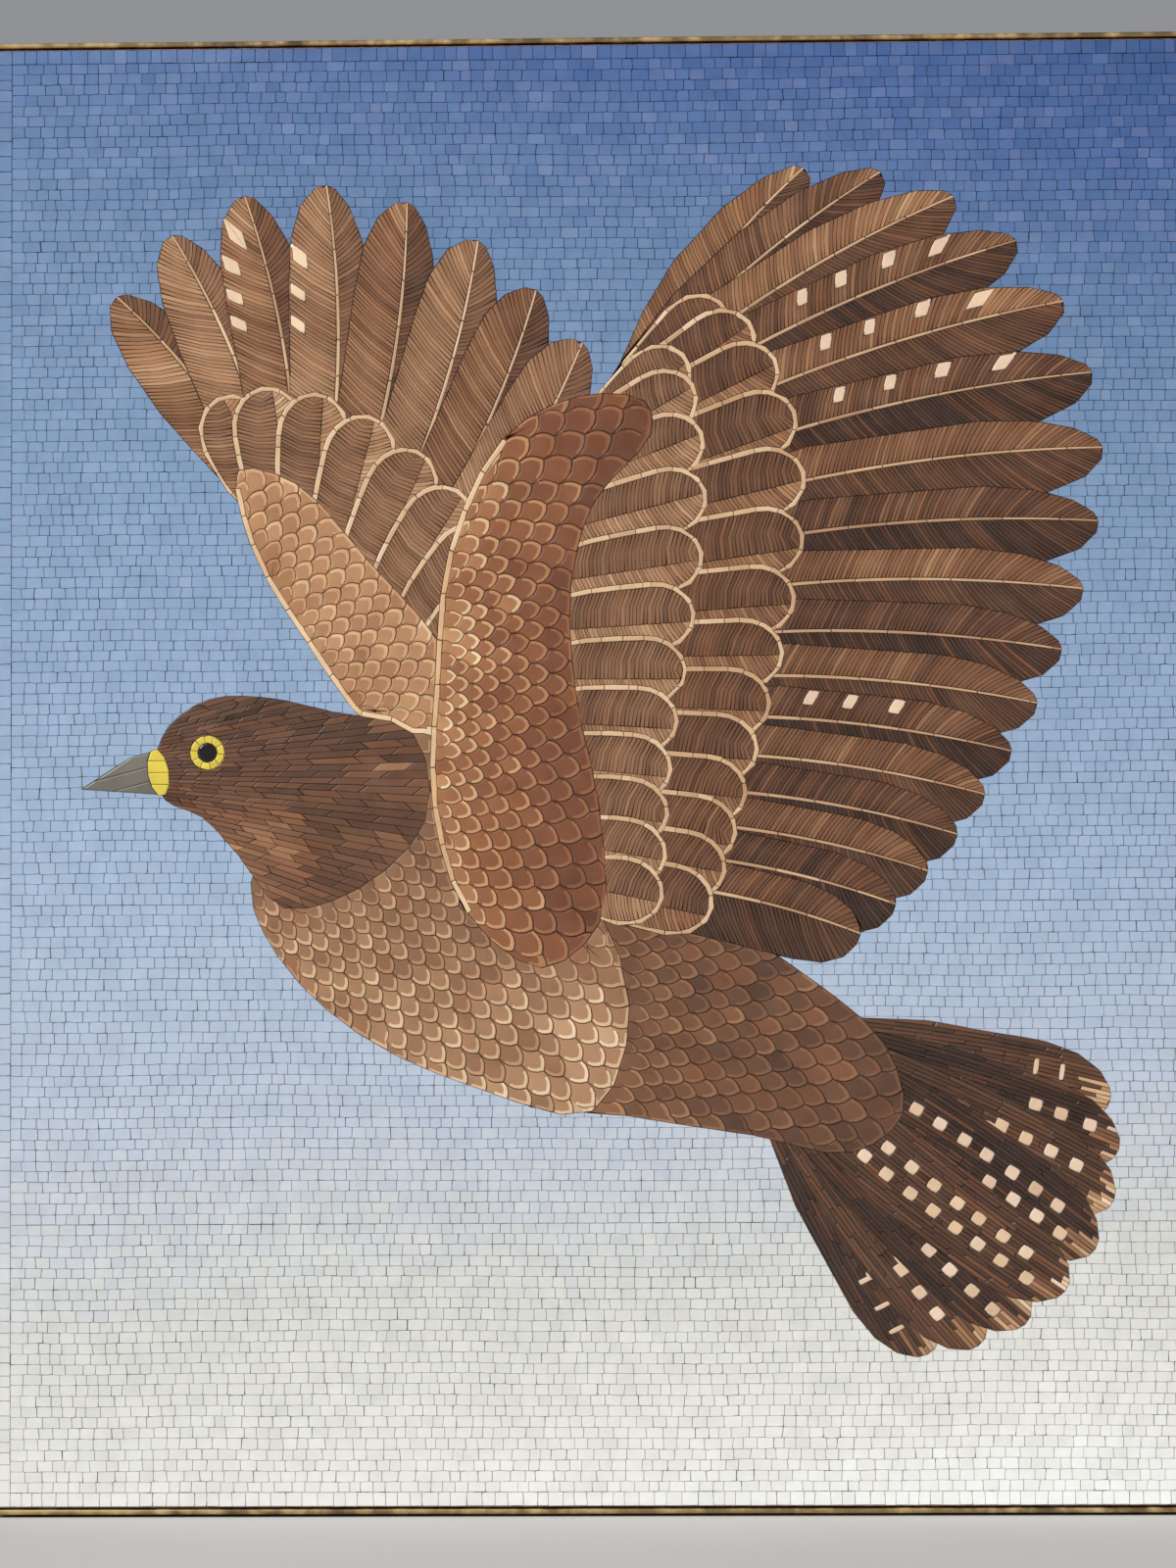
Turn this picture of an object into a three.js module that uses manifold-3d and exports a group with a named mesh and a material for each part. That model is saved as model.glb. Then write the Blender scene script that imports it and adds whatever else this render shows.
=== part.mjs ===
// Mosaic panel: a shallow brass tray filled with mastic, and a picture of a rising bird against
// the sky, set in the mastic from thousands of small glass tesserae. The tesserae of one feather,
// of one covert row or of one stretch of sky are fused here into one solid.
//
// Millimetres, +Z up. The picture faces -Y and the origin is the centre of the flat back.

import * as THREE from 'three';
import { mergeVertices } from 'three/addons/utils/BufferGeometryUtils.js';
import Module from 'manifold-3d';

const wasm = await Module();
wasm.setup();

// ---------------------------------------------------------------- driving dimensions, mm

const PANEL_WIDTH = 100;
const PANEL_HEIGHT = 120;
const PANEL_DEPTH = 5;
const SHEET = 0.6; // brass sheet of the tray
const RIM_PROUD = 0.12; // the rim stands this far above the picture
const PICTURE_DEPTH = 2; // length of a tessera, front to back
const JOINT = 0.12; // mastic between neighbouring pieces of the picture
const BORDER = 1; // the row of tesserae along the tray's wall
const COURSE_GROOVE = 0.08; // depth of the joint between two courses of the sky

// The tones of the sky from the lower border up, and how many courses each one takes.
const SKY_TONES = [
  { name: 'cream', courses: 25, colour: 0xe3e4db },
  { name: 'pale', courses: 30, colour: 0xc2d2e6 },
  { name: 'light', courses: 29, colour: 0xa3bde0 },
  { name: 'middle', courses: 26, colour: 0x86a5d3 },
  { name: 'deep', courses: 25, colour: 0x5e7fb4 },
];
const COURSES = SKY_TONES.reduce((sum, tone) => sum + tone.courses, 0);

// ---------------------------------------------------------------- plane geometry helpers

const { degToRad, lerp, clamp } = THREE.MathUtils;
const at = (x, z) => new THREE.Vector2(x, z);
const between = (a, b, t) => a.clone().lerp(b, t);
const polar = (centre, radius, degrees) =>
  at(radius, 0).rotateAround(at(0, 0), degToRad(degrees)).add(centre);
const spread = (count, make) => Array.from({ length: count }, (_, i) => make(i / (count - 1), i));

/** A closed smooth outline through the given points. */
function smoothOutline(points, stepsPerPoint) {
  const curve = new THREE.CatmullRomCurve3(
    points.map((p) => new THREE.Vector3(p.x, p.y, 0)),
    true,
    'centripetal',
  );
  return curve
    .getPoints(points.length * stepsPerPoint)
    .slice(0, -1)
    .map((p) => at(p.x, p.y));
}

/** A smooth open line through the given points, read at a share t of its length. */
function smoothLine(points) {
  const curve = new THREE.SplineCurve(points);
  return (t) => curve.getPointAt(clamp(t, 0, 1));
}

/** An ellipse, turned by some degrees. */
function ellipse(centre, radiusAlong, radiusAcross, degrees, sides) {
  return Array.from({ length: sides }, (_, i) => {
    const turn = (2 * Math.PI * i) / sides;
    return at(radiusAlong * Math.cos(turn), radiusAcross * Math.sin(turn))
      .rotateAround(at(0, 0), degToRad(degrees))
      .add(centre);
  });
}

/** Twice the signed area: above zero when the outline runs anticlockwise. */
function turning(outline) {
  return outline.reduce((sum, p, i) => sum + p.cross(outline[(i + 1) % outline.length]), 0);
}

/** The outline moved outwards by the given distance. */
function grown(outline, distance) {
  const side = Math.sign(turning(outline));
  const outward = (a, b) => at(b.y - a.y, a.x - b.x).normalize().multiplyScalar(side);
  return outline.map((p, i) => {
    const before = outward(outline.at(i - 1), p);
    const after = outward(p, outline[(i + 1) % outline.length]);
    const corner = before.clone().add(after).normalize();
    const reach = distance / Math.max(0.5, corner.dot(before));
    return p.clone().addScaledVector(corner, reach);
  });
}

/**
 * A feather's outline: it widens from the quill, runs parallel, and ends in a rounded tip.
 * bow bends the shaft sideways, as a share of its length. lead is the share of the width on the
 * left of the shaft, seen from the quill. A short feather needs fewer points.
 */
function featherOutline({ quill, tip, width, bow = 0, lead = 0.5, blunt = 0.8, short = false }) {
  const length = quill.distanceTo(tip);
  const along = tip.clone().sub(quill).normalize();
  const left = at(-along.y, along.x);
  const tipStart = 1 - Math.min(0.6, (blunt * width) / length);
  const shaft = (t) => between(quill, tip, t).addScaledVector(left, bow * length * 4 * t * (1 - t));
  const fullness = (t) => 0.45 + 0.55 * Math.sin((Math.PI / 2) * Math.min(1, t / 0.6));
  const sides = (short ? [0, 0.5] : [0, 0.3, 0.65]).map((share) => [share * tipStart, 1]);
  const rounding = (short ? [0, 35, 65] : [0, 28, 53, 76]).map((degrees) => [
    lerp(tipStart, 1, Math.sin(degToRad(degrees))),
    Math.cos(degToRad(degrees)),
  ]);
  const edge = (share) => [...sides, ...rounding].map(([t, part]) =>
    shaft(t).addScaledVector(left, share * width * fullness(t) * part));
  return [...edge(lead), tip.clone(), ...edge(lead - 1).reverse()];
}

// ---------------------------------------------------------------- solids

/** An outline made into a solid between two depths, front (more negative y) to back. */
function slab(outline, front, back) {
  const geometry = new THREE.ExtrudeGeometry(new THREE.Shape(outline), {
    depth: back - front,
    steps: 1,
    bevelEnabled: false,
  });
  geometry.rotateX(Math.PI / 2);
  geometry.translate(0, back, 0);
  return solidOf(geometry);
}

/** A box from its lowest to its highest corner. */
function block([x0, y0, z0], [x1, y1, z1]) {
  const geometry = new THREE.BoxGeometry(x1 - x0, y1 - y0, z1 - z0);
  geometry.translate((x0 + x1) / 2, (y0 + y1) / 2, (z0 + z1) / 2);
  return solidOf(geometry);
}

function solidOf(geometry) {
  geometry.deleteAttribute('normal');
  geometry.deleteAttribute('uv');
  const merged = mergeVertices(geometry, 1e-5);
  return new wasm.Manifold(new wasm.Mesh({
    numProp: 3,
    vertProperties: Float32Array.from(merged.attributes.position.array),
    triVerts: Uint32Array.from(merged.index.array),
  }));
}

function meshOf(name, solid, colour, roughness, metalness = 0) {
  const { vertProperties, triVerts } = solid.getMesh();
  const geometry = new THREE.BufferGeometry();
  geometry.setAttribute('position', new THREE.BufferAttribute(vertProperties, 3));
  geometry.setIndex(new THREE.BufferAttribute(triVerts, 1));
  geometry.computeVertexNormals();
  const mesh = new THREE.Mesh(geometry, new THREE.MeshStandardMaterial({
    color: colour,
    roughness,
    metalness,
  }));
  mesh.name = name;
  return mesh;
}

const union = (solids) => solids.reduce((whole, solid) => whole.add(solid));

/** The bodies of a solid that are worth keeping, largest first. */
function bodiesOf(solid, smallest = 0.5) {
  return solid
    .decompose()
    .filter((body) => body.volume() > smallest)
    .sort((a, b) => b.volume() - a.volume());
}

// ---------------------------------------------------------------- the tray and its mastic

const RIM_Y = -PANEL_DEPTH;
const PICTURE_FRONT = RIM_Y + RIM_PROUD;
const PICTURE_BACK = PICTURE_FRONT + PICTURE_DEPTH;
const INNER_X = PANEL_WIDTH / 2 - SHEET;
const INNER_Z = PANEL_HEIGHT / 2 - SHEET;
const CUT_FRONT = RIM_Y - 1; // cutters run past the picture's front and back
const CUT_BACK = 0;

function tray() {
  const outside = block(
    [-PANEL_WIDTH / 2, RIM_Y, -PANEL_HEIGHT / 2],
    [PANEL_WIDTH / 2, 0, PANEL_HEIGHT / 2],
  );
  const inside = block([-INNER_X, CUT_FRONT, -INNER_Z], [INNER_X, -SHEET, INNER_Z]);
  return meshOf('tray', outside.subtract(inside), 0xa5874f, 0.4, 1);
}

function masticBed() {
  const bed = block([-INNER_X, PICTURE_BACK, -INNER_Z], [INNER_X, -SHEET, INNER_Z]);
  return meshOf('mastic_bed', bed, 0x55534f, 0.9);
}

// ---------------------------------------------------------------- the bird

const BIRD_AT = at(-1, -3); // moves the whole bird on the picture
const birdPoint = (x, z) => at(x, z).add(BIRD_AT);
const birdOutline = (steps, ...corners) =>
  smoothOutline(corners.map(([x, z]) => birdPoint(x, z)), steps);

const DARK_BROWN = 0x4a3020;
const MID_BROWN = 0x6e4a32;
const SOFT_BROWN = 0x8a6446;
const RUST = 0x8c5532;
const TAN = 0xb98a5c;
const YELLOW = 0xd8c23f;

/**
 * The flight feathers and coverts of one wing. The quills lie along the arm from the hand to the
 * shoulder, and the tips lie on a fan about the given centre. The reach of the fan is longest at
 * the given place along the arm and falls off over the given share of it.
 */
function wing({ arm, centre, fromAngle, toAngle, reach, longest, falloff, bow }) {
  const armLine = smoothLine(arm);
  const quillOf = (u) => armLine(u);
  const tipOf = (u) => {
    const stretch = Math.exp(-(((u - longest) / falloff) ** 2));
    return polar(centre, lerp(reach.short, reach.long, stretch), lerp(fromAngle, toAngle, u));
  };
  const part = (u, share, width, extra = {}) => featherOutline({
    quill: quillOf(u),
    tip: between(quillOf(u), tipOf(u), share),
    width,
    bow,
    ...extra,
  });
  return { part, tipOf, quillOf };
}

const nearWing = wing({
  arm: [birdPoint(2, 31), birdPoint(-4, 26), birdPoint(-7, 16), birdPoint(-6, 4), birdPoint(-2, -6)],
  centre: birdPoint(5, 11),
  fromAngle: 73,
  toAngle: -52,
  reach: { short: 27, long: 46 },
  longest: 0.16,
  falloff: 0.38,
  bow: 0.05,
});

const farWing = wing({
  arm: [birdPoint(-26, 25), birdPoint(-24, 21), birdPoint(-19, 15), birdPoint(-12, 9)],
  centre: birdPoint(-16, 12),
  fromAngle: 127,
  toAngle: 30,
  reach: { short: 26, long: 40 },
  longest: 0.2,
  falloff: 0.45,
  bow: -0.05,
});

const NEAR_PRIMARIES = 9;
const NEAR_SECONDARIES = 8;
const nearFlight = spread(NEAR_PRIMARIES + NEAR_SECONDARIES, (u, i) => ({
  name: i < NEAR_PRIMARIES
    ? `near_primary_${i + 1}`
    : `near_secondary_${i + 1 - NEAR_PRIMARIES}`,
  colour: i % 2 ? DARK_BROWN : MID_BROWN,
  outlines: [nearWing.part(u, 1, lerp(6.8, 6.2, u), { lead: 0.4, blunt: lerp(1.8, 0.8, u) })],
})).reverse();

const FAR_PRIMARIES = 8;
const FAR_SHOWN = 0.7; // the near wing hides the rest of the far one
const farFlight = spread(FAR_PRIMARIES, (u, i) => ({
  name: `far_primary_${i + 1}`,
  colour: i % 2 ? SOFT_BROWN : MID_BROWN,
  outlines: [farWing.part(FAR_SHOWN * u, 1, 6.5, { lead: 0.6, blunt: lerp(1.5, 1, u) })],
})).reverse();

/** A row of coverts, fused: rounded short feathers side by side over the flight feathers. */
function covertRow(name, onWing, { count, share, width, colour, from = 0 }) {
  const outlines = spread(count, (u) =>
    onWing.part(lerp(from, 1, u), share, width, { bow: 0, blunt: 0.6, short: true }));
  return { name, colour, outlines };
}

const nearShoulder = birdOutline(
  3,
  [4.5, 33], [-1, 33.4], [-7, 30], [-11.4, 21], [-12.6, 10], [-12.8, 0], [-10, -8.6], [-4, -13],
  [0.6, -9.4], [0.6, 0], [-1.2, 9], [-1.6, 18], [0.4, 25], [5, 30.4],
);

const farShoulder = birdOutline(
  3,
  [-28.6, 27.6], [-27.6, 21.5], [-23, 13.5], [-17, 6], [-8, 4], [-12, 13], [-18, 20], [-24, 26.5],
);

const TAIL_ROOT = birdPoint(15, -20);
const TAIL_LENGTH = 30;
const TAIL_FEATHERS = 8;
const TAIL_FAN = [-8, -64];
const tail = spread(TAIL_FEATHERS, (u, i) => {
  const fromMiddle = Math.abs(2 * u - 1);
  const angle = lerp(...TAIL_FAN, u);
  return {
    name: `tail_feather_${i + 1}`,
    colour: i % 2 ? DARK_BROWN : MID_BROWN,
    fromMiddle,
    outlines: [featherOutline({
      quill: polar(TAIL_ROOT, -6, angle),
      tip: polar(TAIL_ROOT, TAIL_LENGTH - 3 * fromMiddle ** 2, angle),
      width: 6.4,
      bow: 0.03 * Math.sign(1 - 2 * u),
      blunt: 0.9,
    })],
  };
}).sort((a, b) => a.fromMiddle - b.fromMiddle);

const EYE = birdPoint(-31.2, 4.6);
const head = birdOutline(
  3,
  [-35.4, 3.6], [-34.4, 6.6], [-31, 8.9], [-26.5, 9], [-21, 7.8], [-14.5, 6], [-13.5, -1],
  [-19, -6.5], [-25, -8], [-28.6, -3.8], [-31.6, -0.6], [-34.6, 0.8],
);
const beak = [[-34.4, 5], [-37.4, 4.2], [-41.4, 1.7], [-38.4, 1.5], [-34.4, 1.2]]
  .map(([x, z]) => birdPoint(x, z));
const gape = ellipse(birdPoint(-35.2, 3), 0.8, 1.9, 10, 10);

const breast = birdOutline(
  3,
  [-21, 5], [-27.6, -6], [-25.4, -12], [-19, -18.2], [-9, -22.8], [0, -24.6], [3, -16], [-2, -4],
  [-10, 5],
);
const belly = birdOutline(
  3,
  [-8, 0], [-8, -22.6], [3, -25], [13, -26.6], [21, -28], [25, -25], [23.6, -19.4], [17, -13.6],
  [8, -8],
);

/** Every area of the bird, front to back, so that each is cut by the ones before it. */
const birdAreas = [
  { name: 'pupil', colour: 0x15110f, outlines: [ellipse(EYE, 0.75, 0.75, 0, 12)] },
  { name: 'eye_ring', colour: YELLOW, outlines: [ellipse(EYE, 1.35, 1.35, 0, 16)] },
  { name: 'gape', colour: YELLOW, outlines: [gape] },
  { name: 'beak', colour: 0x6a665c, outlines: [beak] },
  { name: 'near_shoulder', colour: RUST, outlines: [nearShoulder] },
  covertRow('near_median_coverts', nearWing, {
    count: 12, share: 0.33, width: 5.6, colour: SOFT_BROWN, from: 0.06,
  }),
  covertRow('near_greater_coverts', nearWing, {
    count: 14, share: 0.5, width: 5.8, colour: MID_BROWN, from: 0.03,
  }),
  ...nearFlight,
  { name: 'head', colour: MID_BROWN, outlines: [head] },
  { name: 'breast', colour: SOFT_BROWN, outlines: [breast] },
  { name: 'belly', colour: MID_BROWN, outlines: [belly] },
  ...tail,
  { name: 'far_shoulder', colour: TAN, outlines: [farShoulder] },
  covertRow('far_coverts', farWing, {
    count: 9, share: 0.46, width: 6, colour: SOFT_BROWN, from: 0.06,
  }),
  ...farFlight,
];

/** Cuts each area by all those in front of it, with a joint between, and the sky by them all. */
function layBird() {
  let covered = null;
  const meshes = [];
  for (const { name, colour, outlines } of birdAreas) {
    const whole = union(outlines.map((o) => slab(o, PICTURE_FRONT, PICTURE_BACK)));
    const room = union(outlines.map((o) => slab(grown(o, JOINT), CUT_FRONT, CUT_BACK)));
    const seen = covered ? whole.subtract(covered) : whole;
    const [body] = bodiesOf(seen);
    covered = covered ? covered.add(room) : room;
    if (body) {
      meshes.push(meshOf(name, body, colour, 0.35));
    }
  }
  return { meshes, covered };
}

// ---------------------------------------------------------------- the sky

function skyBorder() {
  const outer = [INNER_X - JOINT, INNER_Z - JOINT];
  const inner = [INNER_X - JOINT - BORDER, INNER_Z - JOINT - BORDER];
  const ring = block(
    [-outer[0], PICTURE_FRONT, -outer[1]],
    [outer[0], PICTURE_BACK, outer[1]],
  ).subtract(block([-inner[0], CUT_FRONT, -inner[1]], [inner[0], CUT_BACK, inner[1]]));
  return meshOf('sky_border', ring, 0x93abd0, 0.3);
}

/** The cutter for the shallow V-shaped joint under one course: a square bar lying on its edge. */
function courseJoint(z, halfX) {
  const bar = new THREE.CylinderGeometry(JOINT, JOINT, 2 * halfX + 2, 4);
  bar.rotateZ(Math.PI / 2);
  bar.translate(0, PICTURE_FRONT - JOINT + COURSE_GROOVE, z - JOINT / 2);
  return solidOf(bar);
}

function skyBands(covered) {
  const halfX = INNER_X - 2 * JOINT - BORDER;
  const top = INNER_Z - 2 * JOINT - BORDER;
  const course = (2 * top + JOINT) / COURSES;
  const meshes = [];
  let low = -top;
  for (const { name, courses, colour } of SKY_TONES) {
    const high = low + courses * course - JOINT;
    const band = block([-halfX, PICTURE_FRONT, low], [halfX, PICTURE_BACK, high]);
    const joints = union(
      Array.from({ length: courses - 1 }, (_, k) => courseJoint(low + (k + 1) * course, halfX)),
    );
    bodiesOf(band.subtract(covered).subtract(joints)).forEach((body, piece) => {
      meshes.push(meshOf(`sky_${name}_${piece + 1}`, body, colour, 0.3));
    });
    low = high + JOINT;
  }
  return meshes;
}

// ---------------------------------------------------------------- the panel

const { meshes: birdMeshes, covered } = layBird();

const panel = new THREE.Group();
panel.add(tray(), masticBed(), skyBorder(), ...skyBands(covered), ...birdMeshes);

export default panel;
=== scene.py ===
"""A small micromosaic panel: a rising bird against a graded sky, set in a shallow brass tray.

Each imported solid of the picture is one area: a feather, a row of coverts or a stretch of sky. Here
every area is cut into its separate pieces of glass, which stand a little above the mastic in their
joints. The tray gets its folded and worn sheet.

Plan coordinates are millimetres on the picture: x to the right, y up, z out of its front.
"""

from __future__ import annotations

import logging
import math
from contextlib import contextmanager
from dataclasses import dataclass, field
from enum import Enum
from functools import cached_property
from random import Random
from typing import Callable, Iterable, Iterator, Protocol, Sequence

import bmesh
import bpy
from bmesh.types import BMEdge, BMesh, BMFace, BMVert
from mathutils import Matrix, Vector, noise
from mathutils.geometry import delaunay_2d_cdt


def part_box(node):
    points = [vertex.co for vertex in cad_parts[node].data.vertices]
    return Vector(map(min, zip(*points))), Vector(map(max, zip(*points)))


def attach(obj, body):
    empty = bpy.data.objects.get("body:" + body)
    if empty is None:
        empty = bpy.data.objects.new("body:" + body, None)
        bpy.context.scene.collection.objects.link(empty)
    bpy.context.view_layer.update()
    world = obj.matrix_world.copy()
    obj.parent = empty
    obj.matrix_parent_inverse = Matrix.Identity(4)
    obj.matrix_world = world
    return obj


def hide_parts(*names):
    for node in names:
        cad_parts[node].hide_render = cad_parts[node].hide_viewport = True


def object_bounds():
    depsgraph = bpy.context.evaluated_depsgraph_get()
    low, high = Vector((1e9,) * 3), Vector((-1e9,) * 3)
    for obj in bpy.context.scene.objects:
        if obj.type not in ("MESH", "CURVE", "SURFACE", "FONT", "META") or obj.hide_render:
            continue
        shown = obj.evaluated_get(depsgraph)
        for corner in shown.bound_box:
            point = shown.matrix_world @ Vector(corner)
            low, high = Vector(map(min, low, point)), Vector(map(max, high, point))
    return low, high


log = logging.getLogger("mosaic_panel")

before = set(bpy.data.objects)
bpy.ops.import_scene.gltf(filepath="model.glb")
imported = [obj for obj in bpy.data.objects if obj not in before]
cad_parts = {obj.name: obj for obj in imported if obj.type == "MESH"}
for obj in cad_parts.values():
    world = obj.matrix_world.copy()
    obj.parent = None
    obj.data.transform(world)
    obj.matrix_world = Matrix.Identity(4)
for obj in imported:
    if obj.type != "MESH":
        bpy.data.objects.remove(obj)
cad_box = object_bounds()

MM = 0.001
JOINT = 0.12  # mastic between two solids of the picture
GROOVE = 0.1  # depth of the mastic under the glass
SHEET = 0.6  # brass sheet of the tray
TOUCH = 1e-4  # closer than this is the same place


# ---------------------------------------------------------------- the panel's own sizes


@dataclass(frozen=True)
class Panel:
    """The panel's sizes in millimetres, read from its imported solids."""

    half_x: float
    half_z: float
    depth: float
    front: float
    picture_depth: float

    @classmethod
    def packed(cls) -> Panel:
        """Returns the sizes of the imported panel."""
        low, high = (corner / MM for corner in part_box("tray"))
        front, back = (corner.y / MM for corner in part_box("sky_border"))
        return cls(high.x, high.z, high.y - low.y, front, back - front)

    @property
    def inner_x(self) -> float:
        """Half the width between the tray's walls."""
        return self.half_x - SHEET

    @property
    def inner_z(self) -> float:
        """Half the height between the tray's walls."""
        return self.half_z - SHEET

    @property
    def to_panel(self) -> Matrix:
        """The step from plan millimetres to the panel's own metres."""
        place = Matrix.Translation((0, self.front * MM, 0))
        return place @ Matrix.Rotation(math.pi / 2, 4, "X") @ Matrix.Scale(MM, 4)


PANEL = Panel.packed()


# ---------------------------------------------------------------- small helpers


def srgb(red: int, green: int, blue: int) -> tuple[float, float, float, float]:
    """Returns the linear colour of three display values from 0 to 255."""
    linear = [
        c / 12.92 if c <= 0.04045 else ((c + 0.055) / 1.055) ** 2.4
        for c in (red / 255, green / 255, blue / 255)
    ]
    return (*linear, 1.0)


def mix(low: float, high: float, share: float) -> float:
    """Returns the number that lies at a share of the way from low to high."""
    return low + (high - low) * share


def held(value: float, low: float = 0.0, high: float = 1.0) -> float:
    """Returns the value kept between two limits."""
    return max(low, min(high, value))


def eased(value: float, start: float, end: float) -> float:
    """Returns a smooth step from 0 at start to 1 at end."""
    share = held((value - start) / (end - start))
    return share * share * (3 - 2 * share)


def patchy(place: Vector, size: float, seed: float) -> float:
    """Returns a soft pattern from about -1 to 1.

    Args:
        place: where on the picture.
        size: how wide one patch is, in millimetres.
        seed: which of many patterns.

    Returns:
        The pattern's value there.
    """
    return noise.noise(Vector((place.x / size, place.y / size, seed * 7.31)))


def polar(centre: Vector, radius: float, degrees: float) -> Vector:
    """Returns the point at a distance and an angle from a centre."""
    turn = math.radians(degrees)
    return centre + radius * Vector((math.cos(turn), math.sin(turn)))


def steps(start: float, end: float, rng: Random, low: float, high: float) -> list[float]:
    """Returns places from start to end with seeded gaps between low and high."""
    places = []
    place = start + rng.uniform(low, high)
    while place < end:
        places.append(place)
        place += rng.uniform(low, high)
    return places


# ---------------------------------------------------------------- finishes


class Tree:
    """Adds nodes and links to one node tree."""

    def __init__(self, tree: bpy.types.NodeTree) -> None:
        """Takes the tree to add to."""
        self.tree = tree

    def add(self, kind: str, feeds: dict | None = None, **settings: object) -> bpy.types.Node:
        """Adds a node.

        Args:
            kind: the node's type, without ShaderNode in front.
            feeds: a value or an output for each input, by name or number.
            settings: the node's own settings.

        Returns:
            The node.
        """
        node = self.tree.nodes.new("ShaderNode" + kind)
        for name, value in settings.items():
            setattr(node, name, value)
        for name, value in (feeds or {}).items():
            if isinstance(value, bpy.types.NodeSocket):
                self.tree.links.new(value, node.inputs[name])
            else:
                node.inputs[name].default_value = value
        return node

    def noise(self, scale: float, detail: float = 3.0, stretch: Sequence[float] = (1, 1, 1)):
        """Returns the value of a noise on the panel, with scale in pieces a metre."""
        places = self.add("TexCoord").outputs["Object"]
        turned = self.add("Mapping", {"Vector": places, "Scale": tuple(stretch)})
        feeds = {"Vector": turned.outputs[0], "Scale": scale, "Detail": detail}
        return self.add("TexNoise", feeds).outputs["Fac"]

    def ranged(self, value, start: float, end: float, low: float = 0.0, high: float = 1.0):
        """Returns a value mapped smoothly from one range to another."""
        feeds = {"Value": value, 1: start, 2: end, 3: low, 4: high}
        return self.add("MapRange", feeds, interpolation_type="SMOOTHSTEP").outputs[0]

    def blend(self, share, first, second, mode: str = "MIX"):
        """Returns two colours mixed."""
        feeds = {0: share, 6: first, 7: second}
        return self.add("Mix", feeds, data_type="RGBA", blend_type=mode).outputs[2]


def group(name: str, inputs: dict[str, str], outputs: dict[str, str]) -> bpy.types.NodeTree:
    """Makes an empty shader node group.

    Args:
        name: the group's name.
        inputs: the kind of socket for each input, such as Color or Float.
        outputs: the same for each output.

    Returns:
        The group, with its Group Input and Group Output nodes.
    """
    tree = bpy.data.node_groups.new(name, "ShaderNodeTree")
    for side, sockets in (("INPUT", inputs), ("OUTPUT", outputs)):
        for label, kind in sockets.items():
            tree.interface.new_socket(label, in_out=side, socket_type="NodeSocket" + kind)
    tree.nodes.new("NodeGroupInput")
    tree.nodes.new("NodeGroupOutput")
    return tree


def glass_group() -> bpy.types.NodeTree:
    """Returns the group for glass in its mastic: clouding, dark joints, and fine pits."""
    name = "glass in mastic"
    if name in bpy.data.node_groups:
        return bpy.data.node_groups[name]
    tree = group(
        name,
        {
            "Glass": "Color",
            "Grout": "Color",
            "Smear": "Float",
            "Polish": "Float",
            "Clouding": "Float",
        },
        {"Colour": "Color", "Roughness": "Float", "Normal": "Vector"},
    )
    given, out = tree.nodes["Group Input"], tree.nodes["Group Output"]
    nodes = Tree(tree)
    crown = nodes.add("Attribute", attribute_name="crown").outputs["Fac"]
    glass_here = nodes.ranged(crown, 0.3, 0.8)
    cloud = nodes.noise(520, 4)
    deep = nodes.add("Math", {0: 1.0, 1: given.outputs["Clouding"]}, operation="SUBTRACT")
    shade = nodes.add("MapRange", {"Value": cloud, 1: 0.3, 2: 0.7, 3: deep.outputs[0], 4: 1.06})
    glass = nodes.blend(1.0, given.outputs["Glass"], shade.outputs[0], "MULTIPLY")
    specks = nodes.ranged(nodes.noise(640, 2), 0.5, 0.64)
    smeared = nodes.blend(given.outputs["Smear"], given.outputs["Grout"], given.outputs["Glass"])
    mastic = nodes.blend(specks, smeared, srgb(34, 29, 26))
    colour = nodes.blend(glass_here, mastic, glass)
    polish = nodes.add("MapRange", {"Value": cloud, 1: 0.3, 2: 0.7, 3: -0.05, 4: 0.09})
    gloss = nodes.add("Math", {0: polish.outputs[0], 1: given.outputs["Polish"]})
    rough = nodes.add("Mix", {0: glass_here, 2: 0.9, 3: gloss.outputs[0]})
    pits = nodes.noise(5200, 3)
    bump = nodes.add("Bump", {"Strength": 0.25, "Distance": 0.00002, "Height": pits})
    tree.links.new(colour, out.inputs["Colour"])
    tree.links.new(rough.outputs[0], out.inputs["Roughness"])
    tree.links.new(bump.outputs[0], out.inputs["Normal"])
    return tree


Colour = tuple[int, int, int]
Stops = tuple[tuple[float, Colour], ...]


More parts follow.
